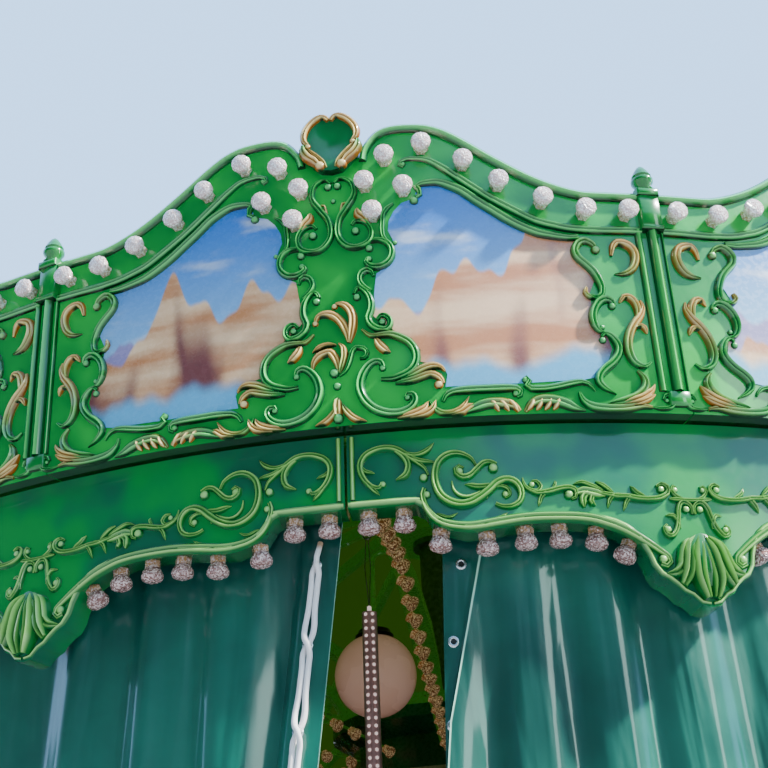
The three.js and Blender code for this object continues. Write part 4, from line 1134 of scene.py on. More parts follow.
def set_out(name):
    """A geometry tree that sets a template object out on points, turned to face along them."""
    tree = bpy.data.node_groups.new(name, "GeometryNodeTree")
    for kind, label in (("Geometry", "Geometry"), ("Object", "Template"), ("Material", "Finish")):
        tree.interface.new_socket(label, in_out="INPUT", socket_type="NodeSocket" + kind)
    tree.interface.new_socket("Geometry", in_out="OUTPUT", socket_type="NodeSocketGeometry")
    given = tree.nodes.new("NodeGroupInput").outputs
    result = tree.nodes.new("NodeGroupOutput").inputs
    facing = add_node(tree, "GeometryNodeInputNamedAttribute", {"Name": "facing"}, data_type="FLOAT_VECTOR")
    turned_to = add_node(tree, "FunctionNodeAlignRotationToVector", {"Vector": facing.outputs["Attribute"]},
                         axis="Z")
    template = add_node(tree, "GeometryNodeObjectInfo", {"Object": given["Template"]}).outputs["Geometry"]
    settings = {"Points": given["Geometry"], "Instance": template, "Rotation": turned_to.outputs["Rotation"]}
    copies = add_node(tree, "GeometryNodeInstanceOnPoints", settings).outputs["Instances"]
    real = add_node(tree, "GeometryNodeRealizeInstances", {"Geometry": copies}).outputs["Geometry"]
    done = add_node(tree, "GeometryNodeSetMaterial",
                    {"Geometry": real, "Material": given["Finish"]}).outputs["Geometry"]
    tree.links.new(done, result["Geometry"])
    return tree


def grown(name, places, facings, tree, values):
    """A plain mesh piece made by a geometry tree from points and the directions they face."""
    seeds = bpy.data.meshes.new(name + "_points")
    seeds.from_pydata([tuple(p) for p in places], [], [])
    directions = seeds.attributes.new("facing", "FLOAT_VECTOR", "POINT").data
    directions.foreach_set("vector", np.asarray(facings, float).ravel())
    carrier = placed(name + "_points", seeds)
    modifier = carrier.modifiers.new("set_out", "NODES")
    modifier.node_group = tree
    for socket in tree.interface.items_tree:
        if socket.in_out == "INPUT" and socket.name in values:
            modifier[socket.identifier] = values[socket.name]
    bpy.context.view_layer.update()
    mesh = bpy.data.meshes.new_from_object(carrier.evaluated_get(bpy.context.evaluated_depsgraph_get()))
    bpy.data.objects.remove(carrier)
    mesh.name = name
    mesh.polygons.foreach_set("use_smooth", [True] * len(mesh.polygons))
    mesh.set_sharp_from_angle(angle=math.radians(35))
    return placed(name, mesh)


def facing_on_ring(u, across, up):
    """A direction given along the ring and upwards, plus whatever points outwards, as a vector."""
    angle = u / ARC_RADIUS
    out = math.sqrt(max(0.0, 1 - across ** 2 - up ** 2))
    return (across * math.cos(angle) + out * math.sin(angle),
            across * math.sin(angle) - out * math.cos(angle), up)


lamp_tree = set_out("lamps_in_sockets")
crown_sockets, crown_facings, valance_sockets, valance_facings = [], [], [], []
for bay in range(BAYS):
    for sign in (1, -1):
        for u, v in CROWN_LAMPS:
            around = sign * u + bay * 2 * HALF_BAY
            crown_sockets.append(on_ring(around, v, -SOCKET_DEPTH).tolist())
            crown_facings.append(facing_on_ring(around, 0.0, -CROWN_LEAN))
        for u, tilt in VALANCE_LAMPS:
            around = sign * u + bay * 2 * HALF_BAY
            level = valance_foot(HALF_BAY - u)
            valance_sockets.append(on_ring(around, level + 1, -VALANCE_DEPTH / 2, VALANCE_FACE, 0.0).tolist())
            valance_facings.append(facing_on_ring(around, -sign * math.sin(tilt), -math.cos(tilt)))
for name, sockets, facings, glass in (("crown_lamps", crown_sockets, crown_facings, lamp_glass),
                                      ("valance_lamps", valance_sockets, valance_facings, smoked_glass)):
    lamps = grown(name, sockets, facings, lamp_tree, {"Template": lamp_template, "Finish": glass})
    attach(lamps, "turntable")

# Curtains
# Twelve glossy coated sheets, dark teal, hang in deep soft folds from the rim's inner flange to just
# above the ground. The two at the front stop short of each other. The left one ends in a flat strip
# beside the lacing, and the right one is turned back along a slanting crease beside its eyelets.
CURTAIN_RADIUS = 3477.0
CURTAIN_TOP = 2799.0
CURTAIN_HEM = 100.0
CURTAIN_OUT = 21.0
CURTAIN_DEPTH = 62.0
SHEET_THICKNESS = 2.4
FOLD_WIDTH = 264.0
FOLD_START = 470.0
LEFT_STRIP = 100.0
STRIP_PLEAT = [(0, 0.0), (18, 0.9), (28, 1.0), (38, 0.95), (118, 0.04), (130, 0.0)]
CREASE_STEP = 11.0
GAP_LEFT = (math.radians(-0.3), math.radians(-5.3))
GAP_RIGHT = (math.radians(4.2), math.radians(1.9))
BAY_MARGIN = 6.5 / CURTAIN_RADIUS


def edge_at(edge, level):
    """Azimuth of a slanting curtain edge at a height."""
    share = (CURTAIN_TOP - level) / (CURTAIN_TOP - CURTAIN_HEM)
    return edge[0] + (edge[1] - edge[0]) * share


def strip_width(level):
    """How much of the right front curtain lies flat between its cut edge and the crease."""
    return max(4.0, 4.0 + 0.203 * (level - 2110))


def fold_at(arc, level):
    """How far a curtain lies in from its outermost line at an arc length and height, from 0 to 1."""
    drop = (CURTAIN_TOP - level) / (CURTAIN_TOP - CURTAIN_HEM)
    lean = arc + FOLD_START + 30 * drop * math.sin(arc / 410)
    phase = 2 * math.pi * (lean / FOLD_WIDTH + 0.2 * math.sin(lean / 173.0)
                           + 0.12 * math.sin(lean / 331.0 + 1.3))
    wave = 0.5 - 0.4 * math.sin(phase) - 0.12 * math.sin(2 * phase + 0.6 + arc / 700)
    wave -= 0.04 * math.sin(5.3 * phase)
    return min(1.0, max(0.0, wave)) * (0.45 + 0.55 * min(1.0, drop * 2.0))


SHEET_COLUMNS = 96
SHEET_ROWS = 22
STRIP_COLUMNS = 8
CREASE_BLEND = 110.0
PLEAT_BLEND = 60.0
EDGE_HIGHLIGHT = 0.86


def curtain_sheet(left, right, turned_left, flat_right):
    """A closed thin sheet between two slanting edges, each the azimuths at its top and hem."""
    columns, rows = SHEET_COLUMNS, SHEET_ROWS
    strip_columns = STRIP_COLUMNS if turned_left else 0
    outer, inner, uvs, edges = [], [], [], []
    for row in range(rows):
        drop = row / (rows - 1)
        level = CURTAIN_TOP + (CURTAIN_HEM - CURTAIN_TOP) * drop
        start, end = edge_at(left, level), edge_at(right, level)
        crease = start + strip_width(level) / CURTAIN_RADIUS if turned_left else start
        flat_part = np.linspace(start, crease, strip_columns + 1)[:-1]
        angles = np.concatenate([flat_part, np.linspace(crease, end, columns - strip_columns)])
        arcs = angles * CURTAIN_RADIUS
        inward = np.array([fold_at(arc, level) for arc in arcs]) * CURTAIN_DEPTH
        if flat_right:
            aside = arcs[-1] - arcs - LEFT_STRIP
            pleat_places, pleat_depths = zip(*STRIP_PLEAT)
            pleat_end = pleat_places[-1]
            pleat = np.interp(aside, pleat_places, pleat_depths) * CURTAIN_DEPTH * min(1.0, 7 * drop)
            inward = np.where(aside < pleat_end, pleat,
                              inward * np.clip((aside - pleat_end) / PLEAT_BLEND, 0, 1))
        # Weights of a painted highlight along the right curtain's crease and the left curtain's cut edge.
        painted_highlight = np.zeros(columns)
        if turned_left:
            inward *= np.clip((arcs - arcs[strip_columns]) / CREASE_BLEND, 0, 1)
            inward[:strip_columns] = CREASE_STEP
            painted_highlight[strip_columns] = 1.0
        if flat_right:
            painted_highlight[-1] = EDGE_HIGHLIGHT
        radii = CURTAIN_RADIUS + CURTAIN_OUT - inward
        slope = np.gradient(radii, arcs)
        shift = SHEET_THICKNESS / 2 / np.sqrt(1 + slope ** 2)
        for points, sign in ((outer, 1), (inner, -1)):
            turned_angles = angles - sign * shift * slope / CURTAIN_RADIUS
            reach = radii + sign * shift
            across, back = reach * np.sin(turned_angles), -reach * np.cos(turned_angles)
            points.extend(zip(across / 1000, back / 1000, [level / 1000] * columns))
        uvs.extend(zip(arcs / 1000, [level / 1000] * columns))
        edges.extend(painted_highlight)
    faces = shell_faces(rows, columns)
    mesh = smooth_mesh("curtain", inner + outer, faces, "sheet", uvs + uvs, sharp_over=60)
    mesh.attributes.new("crease", "FLOAT", "POINT").data.foreach_set("value", edges + edges)
    return mesh


# A fine weave under a gloss coat, with soft creases, stains, a dusty hem, and a painted mint highlight along
# the crease and the front edge.
WEAVE_SCALE = 320.0
curtain_cloth, tree, shader = blank_material("coated_sheet")
spot = add_node(tree, "ShaderNodeUVMap", uv_map="sheet").outputs["UV"]
threads = [add_node(tree, "ShaderNodeTexWave", {"Vector": spot, "Scale": WEAVE_SCALE}, bands_direction=way)
           for way in "XY"]
weave = calculated(tree, "ADD", *(thread.outputs["Fac"] for thread in threads))
drawn_out = add_node(tree, "ShaderNodeMapping", {"Vector": spot, "Scale": (5.0, 0.6, 1.0)}).outputs["Vector"]
creases = noise(tree, drawn_out, 2.4, 1.5, Distortion=0.6)
stain = noise(tree, spot, 1.7, 5.0)
tone = mixed(tree, spread(tree, stain, 0.35, 0.7), linear(0, 68, 60), linear(0, 106, 88))
tone = mixed(tree, spread(tree, part_of(tree, spot, "Y"), 0.5, 0.1, 0.0, 0.45), tone, linear(60, 96, 84))
# The crease attribute brings in a pale mint painted highlight.
painted_edge_highlight = spread(tree, painted_value(tree, "crease"), 0.72, 0.95)
crumple = bumped(tree, creases, 0.6, 0.03)
give(tree, shader, {
    "Base Color": mixed(tree, painted_edge_highlight, tone, linear(190, 244, 214)),
    "Roughness": spread(tree, stain, 0.3, 0.75, 0.3, 0.42),
    "Normal": bumped(tree, weave, 0.12, 0.0004, crumple),
    "Specular IOR Level": 0.35,
    "Coat Weight": 1.0,
    "Coat Roughness": 0.09,
})

eyelet_metal, tree, shader = blank_material("plated_eyelet")
scuffs = noise(tree, place_of(tree), 240.0)
give(tree, shader, {
    "Roughness": spread(tree, scuffs, 0.3, 0.7, 0.18, 0.4),
    "Base Color": linear(214, 216, 220),
    "Metallic": 1.0,
})
# A near-black disc in each ring is the painted shade of the hole.
hole_shade, tree, shader = blank_material("eyelet_hole_painted_shade")
shade = noise(tree, place_of(tree), 300.0)
give(tree, shader,
     {"Base Color": mixed(tree, shade, linear(6, 12, 12), linear(14, 22, 22)), "Roughness": 0.8})

curtains = []
for bay in range(BAYS):
    turn = bay * BAY_ANGLE
    left, right = (turn + BAY_MARGIN,) * 2, (turn + BAY_ANGLE - BAY_MARGIN,) * 2
    if bay == 0:
        left = GAP_RIGHT
    if bay == BAYS - 1:
        right = tuple(turn + BAY_ANGLE + edge for edge in GAP_LEFT)
    mesh = curtain_sheet(left, right, bay == 0, bay == BAYS - 1)
    mesh.materials.append(curtain_cloth)
    drape = placed(f"curtain_sheet_{bay + 1:02d}", mesh)
    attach(drape, "turntable")
    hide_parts(f"curtain_{bay + 1:02d}")
    curtains.append(drape)

# Eyelets down both front edges: a plated ring rolled over the cloth round a 13 mm hole.
EYELET_RADIUS = 16.0
EYELET_HOLE = 7.5
EYELET_PITCH = 213.0
EYELET_FIRST = 2576.0
EYELET_SIDES = 20
EYELET_INSET = 50.0
LACED_INSET = 62.0
RIGHT_EYELETS = 3
RING_PROFILE = [
    (EYELET_HOLE, 0.2), (EYELET_HOLE + 0.8, 2.2), (EYELET_HOLE + 3, 3.2), (EYELET_RADIUS - 2, 2.6),
    (EYELET_RADIUS, 0.2),
]
ring_corners = len(RING_PROFILE) * EYELET_SIDES
RING_FACES = [tuple(i % ring_corners for i in face)
              for face in quads(len(RING_PROFILE) + 1, EYELET_SIDES, turned_over=True)]
HOLE_ENDS = [tuple(range(EYELET_SIDES - 1, -1, -1)), tuple(range(EYELET_SIDES, 2 * EYELET_SIDES))]


def inset_at(level, turned_back):
    """Distance of an eyelet from the cut edge, shrinking where the strip is turned back."""
    return min(EYELET_INSET, max(19.0, 19 + 0.14 * (level - 2320))) if turned_back else LACED_INSET


def eyelet_row(name, edge, inward, levels, sunk):
    """The eyelets on one front edge as one piece, rings and dark discs painted as the shade in their holes;
    sunk is how far in the strip lies.
    """
    rows = Carving()
    for level in levels:
        u = (edge_at(edge, level) + inward * inset_at(level, inward > 0) / CURTAIN_RADIUS) * ARC_RADIUS
        v = level - CROWN_LEVEL
        turn = circle(EYELET_SIDES)
        rings = [(u + r * math.cos(a), v + r * math.sin(a), h) for r, h in RING_PROFILE for a in turn]
        rows.add(rings, RING_FACES, finish=0)
        r = EYELET_HOLE + 0.5
        disc = [(u + r * math.cos(a), v + r * math.sin(a), h) for h in (0.3, 0.9) for a in turn]
        rows.add(disc, [*HOLE_ENDS, *quads(2, EYELET_SIDES)], finish=1)
    face = CURTAIN_RADIUS + CURTAIN_OUT - sunk + SHEET_THICKNESS / 2
    mesh = build_mesh(name, rows, lambda u, v, rise: on_ring(u, v, rise, face, 0.0))
    mesh.materials.append(eyelet_metal)
    mesh.materials.append(hole_shade)
    piece = placed(name, mesh)
    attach(piece, "turntable")
    return piece


right_levels = [EYELET_FIRST - i * EYELET_PITCH for i in range(RIGHT_EYELETS)]
laced_levels = [1000 * (ROPE_TOP - i * ROPE_LINK) for i in range(ROPE_LINKS + 1)]
right_eyelets = eyelet_row("eyelets_right", GAP_RIGHT, 1, right_levels, CREASE_STEP)
left_eyelets = eyelet_row("eyelets_left", GAP_LEFT, -1, laced_levels, 0.0)

# The pleats take up a fifth more cloth than the arc they hang on.
PLEAT_ALLOWANCE = 1.2
for bay, drape in enumerate(curtains):
    covered = BAY_ANGLE - 2 * BAY_MARGIN
    if bay == 0:
        covered = BAY_ANGLE - BAY_MARGIN - sum(GAP_RIGHT) / 2
    if bay == BAYS - 1:
        covered = BAY_ANGLE - BAY_MARGIN + sum(GAP_LEFT) / 2
    width = covered * CURTAIN_RADIUS / 1000 * PLEAT_ALLOWANCE

# Roof
# A welded steel wheel of twelve sloping rafters carries one green coated roof sheet, laced down at
# the eaves and pulled tight to the hub, where a spun metal cap covers it. Below it, twelve bent
# ceiling bars run from the eaves to the drum; both wheels and the eaves ring are painted green.
ROOF_OUTER = 3540.0
ROOF_INNER = 300.0
ROOF_SLOPE = 0.395
ROOF_EAVES_LEVEL = 3010.4
ROOF_LIFT = 5.0
ROOF_SAG = 26.0
ROOF_THICKNESS = 3.0
ROOF_COLUMNS = 144
ROOF_ROWS = 16

roof_points = {1: [], -1: []}
roof_uvs = []
for row in range(ROOF_ROWS):
    share = row / (ROOF_ROWS - 1)
    radius = ROOF_OUTER + (ROOF_INNER - ROOF_OUTER) * share
    sag = ROOF_SAG * math.sin(math.pi * min(1.0, share * 1.15)) ** 0.8 if 0 < share < 1 else 0.0
    for column in range(ROOF_COLUMNS):
        angle = 2 * math.pi * column / ROOF_COLUMNS
        dip = sag * math.sin(BAYS / 2 * angle) ** 2
        level = ROOF_EAVES_LEVEL + ROOF_SLOPE * (ROOF_OUTER - radius) - dip + ROOF_LIFT
        for side in (1, -1):
            height = level + side * ROOF_THICKNESS / 2
            roof_points[side].append((radius * math.sin(angle) / 1000, -radius * math.cos(angle) / 1000,
                                      height / 1000))
        roof_uvs.append((angle / BAY_ANGLE, (ROOF_OUTER - radius) / 1000))
roof_total = ROOF_COLUMNS * ROOF_ROWS
roof_faces = quads(ROOF_ROWS, ROOF_COLUMNS) + quads(ROOF_ROWS, ROOF_COLUMNS, roof_total, turned_over=True)
for column in range(ROOF_COLUMNS):
    i, j = column, (column + 1) % ROOF_COLUMNS
    roof_faces.append((j, i, i + roof_total, j + roof_total))
    i, j = roof_total - ROOF_COLUMNS + i, roof_total - ROOF_COLUMNS + j
    roof_faces.append((i, j, j + roof_total, i + roof_total))
roof_mesh = smooth_mesh("roof_sheet", roof_points[1] + roof_points[-1], roof_faces, "gores",
                        roof_uvs + roof_uvs, sharp_over=50)

# Each gore is welded to the next along a seam, darker and a little raised.
SEAM_START = 0.486
SEAM_FULL = 0.494
roof_cloth, tree, shader = blank_material("roof_sheet_cloth")
gores = add_node(tree, "ShaderNodeUVMap", uv_map="gores").outputs["UV"]
place = place_of(tree)
grime = noise(tree, place, 1.3, 6.0)
seam_run = calculated(tree, "FRACT", part_of(tree, gores, "X"))
from_gore_middle = calculated(tree, "ABSOLUTE", calculated(tree, "SUBTRACT", seam_run, 0.5))
seam = spread(tree, from_gore_middle, SEAM_START, SEAM_FULL)
weave = add_node(tree, "ShaderNodeTexVoronoi", {"Vector": place, "Scale": 420.0}).outputs["Distance"]
tone = mixed(tree, spread(tree, grime, 0.35, 0.7), linear(34, 84, 18), linear(58, 104, 26))
# The underside gets a painted green glow for daylight through the sheet, dimmer along the seams.
underside_painted_light = spread(tree, upward_share(tree), 0.0, -0.4)
glow = mixed(tree, seam, linear(46, 80, 18, 1.0), linear(28, 56, 10, 1.0))
lift = calculated(tree, "ADD", calculated(tree, "MULTIPLY", weave, 0.2), seam)
give(tree, shader, {
    "Base Color": mixed(tree, seam, tone, linear(24, 60, 20)),
    "Emission Color": mixed(tree, underside_painted_light, (0.0, 0.0, 0.0, 1.0), glow),
    "Emission Strength": 0.62,
    "Roughness": spread(tree, grime, 0.3, 0.7, 0.6, 0.75),
    "Specular IOR Level": 0.12,
    "Normal": bumped(tree, lift, 0.5, 0.002),
})
roof_mesh.materials.append(roof_cloth)
roof_sheet = placed("roof_sheet", roof_mesh)
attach(roof_sheet, "turntable")
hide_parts("canopy")

glowing_frame_paint, tree, shader = blank_material("frame_enamel_painted_glow")
ground = enamel(tree, linear(60, 140, 30, 1.0), linear(80, 160, 40, 1.0), patch=5.0, dulling=0.3)
chipped = spread(tree, noise(tree, place_of(tree), 26.0, 6.0), 0.66, 0.7)
# A green glow is painted into the frame, standing for light from the roof sheet above.
give(tree, shader, {
    "Base Color": mixed(tree, chipped, ground["Color"], linear(96, 74, 60)),
    "Roughness": ground["Roughness"],
    "Normal": ground["Normal"],
    "Coat Weight": 0.3,
    "Emission Color": linear(22, 62, 10, 1.0),
    "Emission Strength": 0.9,
})


def dress(names, material):
    """Gives CAD nodes that stay a material in place of their plain one."""
    for name in names:
        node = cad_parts[name]
        node.data.materials.clear()
        node.data.materials.append(material)


dress(("eaves_ring", "rafter_frame", "ceiling_arches", "roof_cap"), glowing_frame_paint)

# Ceiling lamps
# The same screw-in cabochons, in amber, stand on one flat steel strip below each ceiling bar. The strip
# is tacked along the bar from the eaves and then runs on down to the drum; the lamps are 145 mm apart.
STRIP_LINE = [
    (3400, -86), (2980, -20), (2700, 22), (2560, 38), (2472, 36), (2322, 14), (2202, -14), (2067, -38),
    (1928, -64), (1784, -92), (1650, -116), (1480, -134), (1300, -150), (1000, -188), (781, -222),
    (684, -240), (566, -262),
]
STRIP_HALF = 12.0
STRIP_THICKNESS = 4.0
STRIP_SPACING = 40.0
CEILING_PITCH = 145.0
CEILING_FIRST = 50.0
CEILING_SPREAD = 0.8

strip_run = curve_through(STRIP_LINE, STRIP_SPACING)
strips = Carving()
strip_section = [(-STRIP_HALF, 0), (STRIP_HALF, 0), (STRIP_HALF, STRIP_THICKNESS),
                 (-STRIP_HALF, STRIP_THICKNESS)]
strip_verts = [(radius, side, v + lift) for radius, v in strip_run for side, lift in strip_section]
strip_end = 4 * (len(strip_run) - 1)
strip_faces = quads(len(strip_run), len(strip_section))
strips.add(strip_verts, [*strip_faces, (3, 2, 1, 0), tuple(strip_end + k for k in range(4))])
strip_mesh = build_mesh("lamp_strip", strips, lambda r, side,
                        v: np.stack([side, -r, v + CROWN_LEVEL], -1) / 1000)
for bay in range(BAYS):
    mesh = strip_mesh.copy()
    mesh.transform(Matrix.Rotation(bay * BAY_ANGLE, 4, "Z"))
    mesh.materials.append(glowing_frame_paint)
    strip = placed(f"lamp_strip_{bay + 1:02d}", mesh)
    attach(strip, "turntable")

strip_steps = np.linalg.norm(np.diff(strip_run, axis=0), axis=1)
strip_lengths = np.concatenate([[0], np.cumsum(strip_steps)])
stations = np.arange(CEILING_FIRST, strip_lengths[-1] - 60, CEILING_PITCH)
sockets, facings = [], []
for bay in range(BAYS):
    turn = bay * BAY_ANGLE
    out, along = (math.sin(turn), -math.cos(turn)), (math.cos(turn), math.sin(turn))
    lamp_radii, lamp_heights = (np.interp(stations, strip_lengths, strip_run[:, k]) for k in (0, 1))
    for radius, v in zip(lamp_radii, lamp_heights):
        sockets.append((radius * out[0] / 1000, radius * out[1] / 1000, (CROWN_LEVEL + v) / 1000))
        facings.append((CEILING_SPREAD * along[0], CEILING_SPREAD * along[1],
                        -math.sqrt(1 - CEILING_SPREAD ** 2)))
amber_glass = cabochon("amber_cabochon", linear(128, 78, 40), linear(252, 214, 158), linear(176, 108, 54),
                       210.0)
amber_tree = amber_glass.node_tree
amber_shader = amber_tree.nodes["Principled BSDF"]
give(amber_tree, amber_shader, {
    "Emission Color": amber_shader.inputs["Base Color"].links[0].from_socket,
    "Emission Strength": 0.3,
})
ceiling_lamps = grown("ceiling_lamps", sockets, facings, lamp_tree,
                      {"Template": lamp_template, "Finish": amber_glass})
bpy.data.objects.remove(lamp_template)
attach(ceiling_lamps, "turntable")

# Globe lamps
# Six opal glass globes, 300 mm across, each held by a dark metal fitter on a bent steel bracket that
# is welded to the side of a ceiling bar.
GLOBE_RADIUS = 150.0
GLOBE_PLACE = (-93.0, -2428.0, 2575.0)
FITTER_RADIUS = 62.0
STEM_HALF = 12.6
BRACKET_LEVEL = 3050.0
BAR_SIDE = -25.3
GLOBE_STEPS = 22
GLOBE_SIDES = 40
FITTER_SIDES = 28
FITTER = [(0, 120), (70, 120), (72, 124), (72, 146), (64, 152), (58, 166), (30, 174), (13, 178), (0, 178)]

globe = Carving()
opening = math.asin(FITTER_RADIUS / GLOBE_RADIUS)
profile = [(0.0, -GLOBE_RADIUS)]
for step in range(1, GLOBE_STEPS + 1):
    angle = (math.pi - opening) * step / GLOBE_STEPS
    profile.append((GLOBE_RADIUS * math.sin(angle), -GLOBE_RADIUS * math.cos(angle)))
profile.append((0.0, profile[-1][1]))
globe.add(*turned(profile, GLOBE_SIDES), finish=0)
globe.add(*turned(FITTER, FITTER_SIDES), finish=1)


def bar_along(carving, path, half, sides, finish):
    """A round bar through the points of a path, closed at both ends, in mm."""
    verts, faces, _, _ = tube(path, half, sides)
    carving.add(verts, faces, finish=finish)


STEM_SIDES = 12
BEND = 40.0
BEND_STEPS = 6
stem_top = BRACKET_LEVEL - GLOBE_PLACE[2]
bracket = [(0, 0, 170), (0, 0, 260), (0, 0, stem_top - BEND)]
for step in range(1, BEND_STEPS + 1):
    angle = math.pi / 2 * step / BEND_STEPS
    bracket.append((BEND * (1 - math.cos(angle)), 0, stem_top - BEND + BEND * math.sin(angle)))
bracket.append((BAR_SIDE - GLOBE_PLACE[0] - 1, 0, stem_top))
bar_along(globe, bracket, STEM_HALF * 0.8, STEM_SIDES, 2)


def standing_at(spot):
    """The place function of a piece modelled about its own axis at a spot in mm."""
    return lambda x, y, z: np.stack([x + spot[0], y + spot[1], z + spot[2]], -1) / 1000


globe_mesh = build_mesh("opal_lamp", globe, standing_at(GLOBE_PLACE))

opal_glass, tree, shader = blank_material("opal_glass")
cloud = noise(tree, place_of(tree), 7.0)
rim = add_node(tree, "ShaderNodeLayerWeight", {"Blend": 0.35}).outputs["Facing"]
glow = mixed(tree, cloud, linear(224, 168, 138, 1.0), linear(236, 188, 164, 1.0))
# The glow is darkened towards the globe's outline as painted shade.
give(tree, shader, {
    "Base Color": mixed(tree, cloud, linear(232, 196, 178), linear(246, 220, 206)),
    "Emission Color": mixed(tree, rim, glow, linear(150, 96, 74, 1.0)),
    "Emission Strength": 0.3,
    "Roughness": spread(tree, cloud, 0.3, 0.7, 0.22, 0.34),
    "Coat Weight": 0.4,
})
dark_fitting, tree, shader = blank_material("dark_fitting")
rub = noise(tree, place_of(tree), 40.0, 4.0)
give(tree, shader, {
    "Base Color": mixed(tree, spread(tree, rub, 0.5, 0.72), linear(22, 16, 16), linear(62, 48, 42)),
    "Roughness": spread(tree, rub, 0.3, 0.7, 0.3, 0.55),
    "Metallic": 0.6,
})

# Ride poles
# Six ride poles, steel tubes of 50 mm in a dark red-brown jacket with four rows of bright beads, with
# a foot plate on the deck. A silver ferrule at the top hangs from a hook on the ceiling by two rods.
POLE_PLACE = (-41.0, -2917.0, 0.0)
POLE_RADIUS = 25.0
POLE_FOOT = 300.5
POLE_TOP = 2671.0
BEAD_ANGLES = [math.radians(degrees) for degrees in (-22, 31, 158, 211)]
BEAD_PITCH = 23.5
BEAD_PROFILE = [(0, -0.5), (6.2, -0.5), (4.9, 2.8), (0, 4.4)]
HOOK_LEVEL = 2925.0
POLE_SIDES = 28
POLE_LEVELS = 8
FERRULE_SIDES = 16
BEAD_SIDES = 6

pole = Carving()
foot = [(0, 0), (68, 0), (70, 3), (70, 9), (66, 12), (33, 13), (30, 18), (30, 40), (POLE_RADIUS, 44)]
profile = [(radius, POLE_FOOT + rise) for radius, rise in foot]
profile.extend((POLE_RADIUS, level) for level in np.linspace(POLE_FOOT + 60, POLE_TOP - 24, POLE_LEVELS))
profile.append((0, POLE_TOP - 22))
pole.add(*turned(profile, POLE_SIDES), finish=0)
ferrule = [(radius, POLE_TOP + rise) for radius, rise in [(0, -23), (7, -23), (7, -4), (5, -1), (0, 0)]]
pole.add(*turned(ferrule, FERRULE_SIDES), finish=1)
pole_mesh = build_mesh("beaded_pole", pole, standing_at(POLE_PLACE))

pole_jacket, tree, shader = blank_material("pole_jacket")
drawn_up = add_node(tree, "ShaderNodeMapping",
                    {"Vector": place_of(tree), "Scale": (60.0, 60.0, 4.0)}).outputs["Vector"]
drag = noise(tree, drawn_up, 1.0, 3.0)
give(tree, shader, {
    "Base Color": mixed(tree, drag, linear(206, 128, 120), linear(255, 208, 198)),
    "Roughness": spread(tree, drag, 0.3, 0.7, 0.22, 0.4),
    "Metallic": 0.1,
})
# The beads carry a painted glow that stands for their sparkle.
glowing_bead, tree, shader = blank_material("bead_painted_glow")
haze = noise(tree, place_of(tree), 200.0)
give(tree, shader, {
    "Base Color": mixed(tree, haze, linear(226, 200, 196, 0.8), linear(255, 246, 244, 0.8)),
    "Emission Color": mixed(tree, haze, linear(226, 190, 186, 1.0), linear(255, 236, 230, 1.0)),
    "Emission Strength": 0.8,
    "Metallic": 0.3,
    "Roughness": 0.2,
})

bead_points, bead_faces = turned(BEAD_PROFILE, BEAD_SIDES)
bead_mesh = bpy.data.meshes.new("bead")
bead_mesh.from_pydata([(x / 1000, y / 1000, z / 1000) for x, y, z in bead_points], [], bead_faces)
bead_template = placed("bead_template", bead_mesh)
bead_seats, bead_facings = [], []
for turn in range(BAYS // 2):
    spin = Matrix.Rotation(turn * 2 * BAY_ANGLE, 3, "Z")
    for angle in BEAD_ANGLES:
        facing = Vector((math.sin(angle), -math.cos(angle), 0))
        for level in np.arange(POLE_TOP - 34, POLE_FOOT + 56, -BEAD_PITCH):
            seat = Vector((POLE_PLACE[0], POLE_PLACE[1], level)) + facing * POLE_RADIUS
            bead_seats.append(spin @ seat / 1000)
            bead_facings.append(spin @ facing)
beads = grown("pole_beads", bead_seats, bead_facings, lamp_tree,
              {"Template": bead_template, "Finish": glowing_bead})
bpy.data.objects.remove(bead_template)
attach(beads, "turntable")

# Each hanger: two thin rods that bow apart, and a round hook above them.
ROD_HALF = 1.6
ROD_SIDES = 6
HOOK_BEND = 13.0
HOOK_STEPS = 12
HOOK_HALF = 3.2
HOOK_SIDES = 8
hanger = Carving()
rod_levels = (POLE_TOP - 4, POLE_TOP + 60, POLE_TOP + 130, HOOK_LEVEL - 30, HOOK_LEVEL - 8)
for spans in ((0, 4, 9, 4, 2), (0, -5, -11, -5, -2)):
    bar_along(hanger, [(span, 0, level) for span, level in zip(spans, rod_levels)], ROD_HALF, ROD_SIDES, 0)
hook = [(0, 0, HOOK_LEVEL + 46)]
for step in range(HOOK_STEPS + 1):
    angle = math.pi * 1.5 * step / HOOK_STEPS
    hook.append((HOOK_BEND * math.sin(angle), 0, HOOK_LEVEL + HOOK_BEND * math.cos(angle) - 6))
bar_along(hanger, hook, HOOK_HALF, HOOK_SIDES, 0)
hanger_mesh = build_mesh("pole_hanger", hanger, standing_at(POLE_PLACE))
bare_steel, tree, shader = blank_material("bare_steel")
tarnish = noise(tree, place_of(tree), 90.0, 3.0)
give(tree, shader, {
    "Base Color": mixed(tree, tarnish, linear(110, 100, 92), linear(190, 184, 178)),
    "Metallic": 0.9,
    "Roughness": 0.35,
})

for index in range(BAYS // 2):
    spin = Matrix.Rotation(index * 2 * BAY_ANGLE, 4, "Z")
    for name, source, finishes, node, slot in (
        ("opal_lamp", globe_mesh, (opal_glass, dark_fitting, glowing_frame_paint), "globe_lamp", "opal_globe"),
        ("beaded_pole", pole_mesh, (pole_jacket, glowing_bead), "ride_pole", "pole"),
        ("pole_hanger", hanger_mesh, (bare_steel,), None, "galvanised_steel"),
    ):
        mesh = source.copy()
        mesh.transform(spin)
        for material in finishes:
            mesh.materials.append(material)
        piece = placed(f"{name}_{index + 1:02d}", mesh)
        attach(piece, "turntable")
        if node:
            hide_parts(f"{node}_{index + 1:02d}")

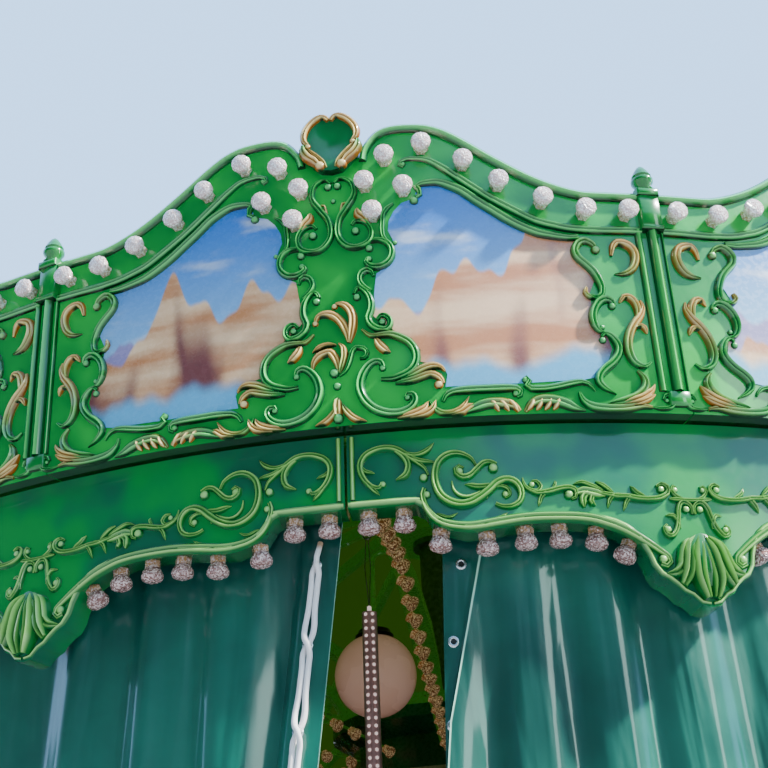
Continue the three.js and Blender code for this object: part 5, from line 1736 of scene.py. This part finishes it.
# Deck, drum and base
# Varnished tongued boards on a steel frame, with a board fascia bent round the edge; a sheet-metal
# drum round the mast, painted in two greens with cream lines; and a galvanised mast and ground frame.
BOARD_WIDTH = 0.12
deck_boards, tree, shader = blank_material("varnished_boards")
place = place_of(tree)
board_run = calculated(tree, "DIVIDE", part_of(tree, place, "X"), BOARD_WIDTH)
board_number = calculated(tree, "FLOOR", board_run)
from_board_middle = calculated(tree, "ABSOLUTE",
                               calculated(tree, "SUBTRACT", calculated(tree, "FRACT", board_run), 0.5))
joint = spread(tree, from_board_middle, 0.47, 0.49)
board_tone = add_node(tree, "ShaderNodeTexWhiteNoise", {"W": board_number},
                      noise_dimensions="1D").outputs["Value"]
grain_space = add_node(tree, "ShaderNodeMapping",
                       {"Vector": place, "Scale": (42.0, 2.2, 42.0)}).outputs["Vector"]
wood_grain = noise(tree, grain_space, 1.0, 5.0, Distortion=0.5)
wood = mixed(tree, wood_grain, linear(104, 62, 32), linear(176, 118, 66))
wood = mixed(tree, calculated(tree, "MULTIPLY", board_tone, 0.35), wood, linear(84, 46, 26))
relief = calculated(tree, "SUBTRACT", calculated(tree, "MULTIPLY", wood_grain, 0.15), joint)
give(tree, shader, {
    "Base Color": mixed(tree, joint, wood, linear(28, 18, 12)),
    "Roughness": spread(tree, wood_grain, 0.3, 0.7, 0.3, 0.5),
    "Normal": bumped(tree, relief, 0.6, 0.003),
    "Coat Weight": 0.4,
})
dress(("platform_deck", "deck_fascia"), deck_boards)

DRUM_MIDDLE = 1.55
drum_enamel, tree, shader = blank_material("drum_enamel")
ground = enamel(tree, linear(14, 96, 56), linear(40, 140, 84), patch=4.0, dulling=0.25)
from_drum_middle = calculated(tree, "SUBTRACT", part_of(tree, place_of(tree), "Z"), DRUM_MIDDLE)
bands = calculated(tree, "ABSOLUTE", from_drum_middle)
line = calculated(tree, "MULTIPLY", spread(tree, bands, 1.02, 1.025), spread(tree, bands, 1.045, 1.04))
give(tree, shader, {
    "Base Color": mixed(tree, line, ground["Color"], linear(226, 214, 176)),
    "Roughness": ground["Roughness"],
    "Normal": ground["Normal"],
    "Coat Weight": 0.4,
})
dress(("centre_drum",), drum_enamel)

zinc_coat, tree, shader = blank_material("galvanised_steel")
place = place_of(tree)
spangle = add_node(tree, "ShaderNodeTexVoronoi", {"Vector": place, "Scale": 55.0}).outputs["Color"]
white_rust = noise(tree, place, 8.0, 6.0)
zinc = mixed(tree, spangle, linear(132, 138, 142), linear(178, 184, 188))
give(tree, shader, {
    "Base Color": mixed(tree, spread(tree, white_rust, 0.55, 0.75), zinc, linear(196, 192, 184)),
    "Roughness": spread(tree, white_rust, 0.4, 0.75, 0.35, 0.75),
    "Metallic": 0.85,
})
dress(("ground_frame", "centre_mast"), zinc_coat)
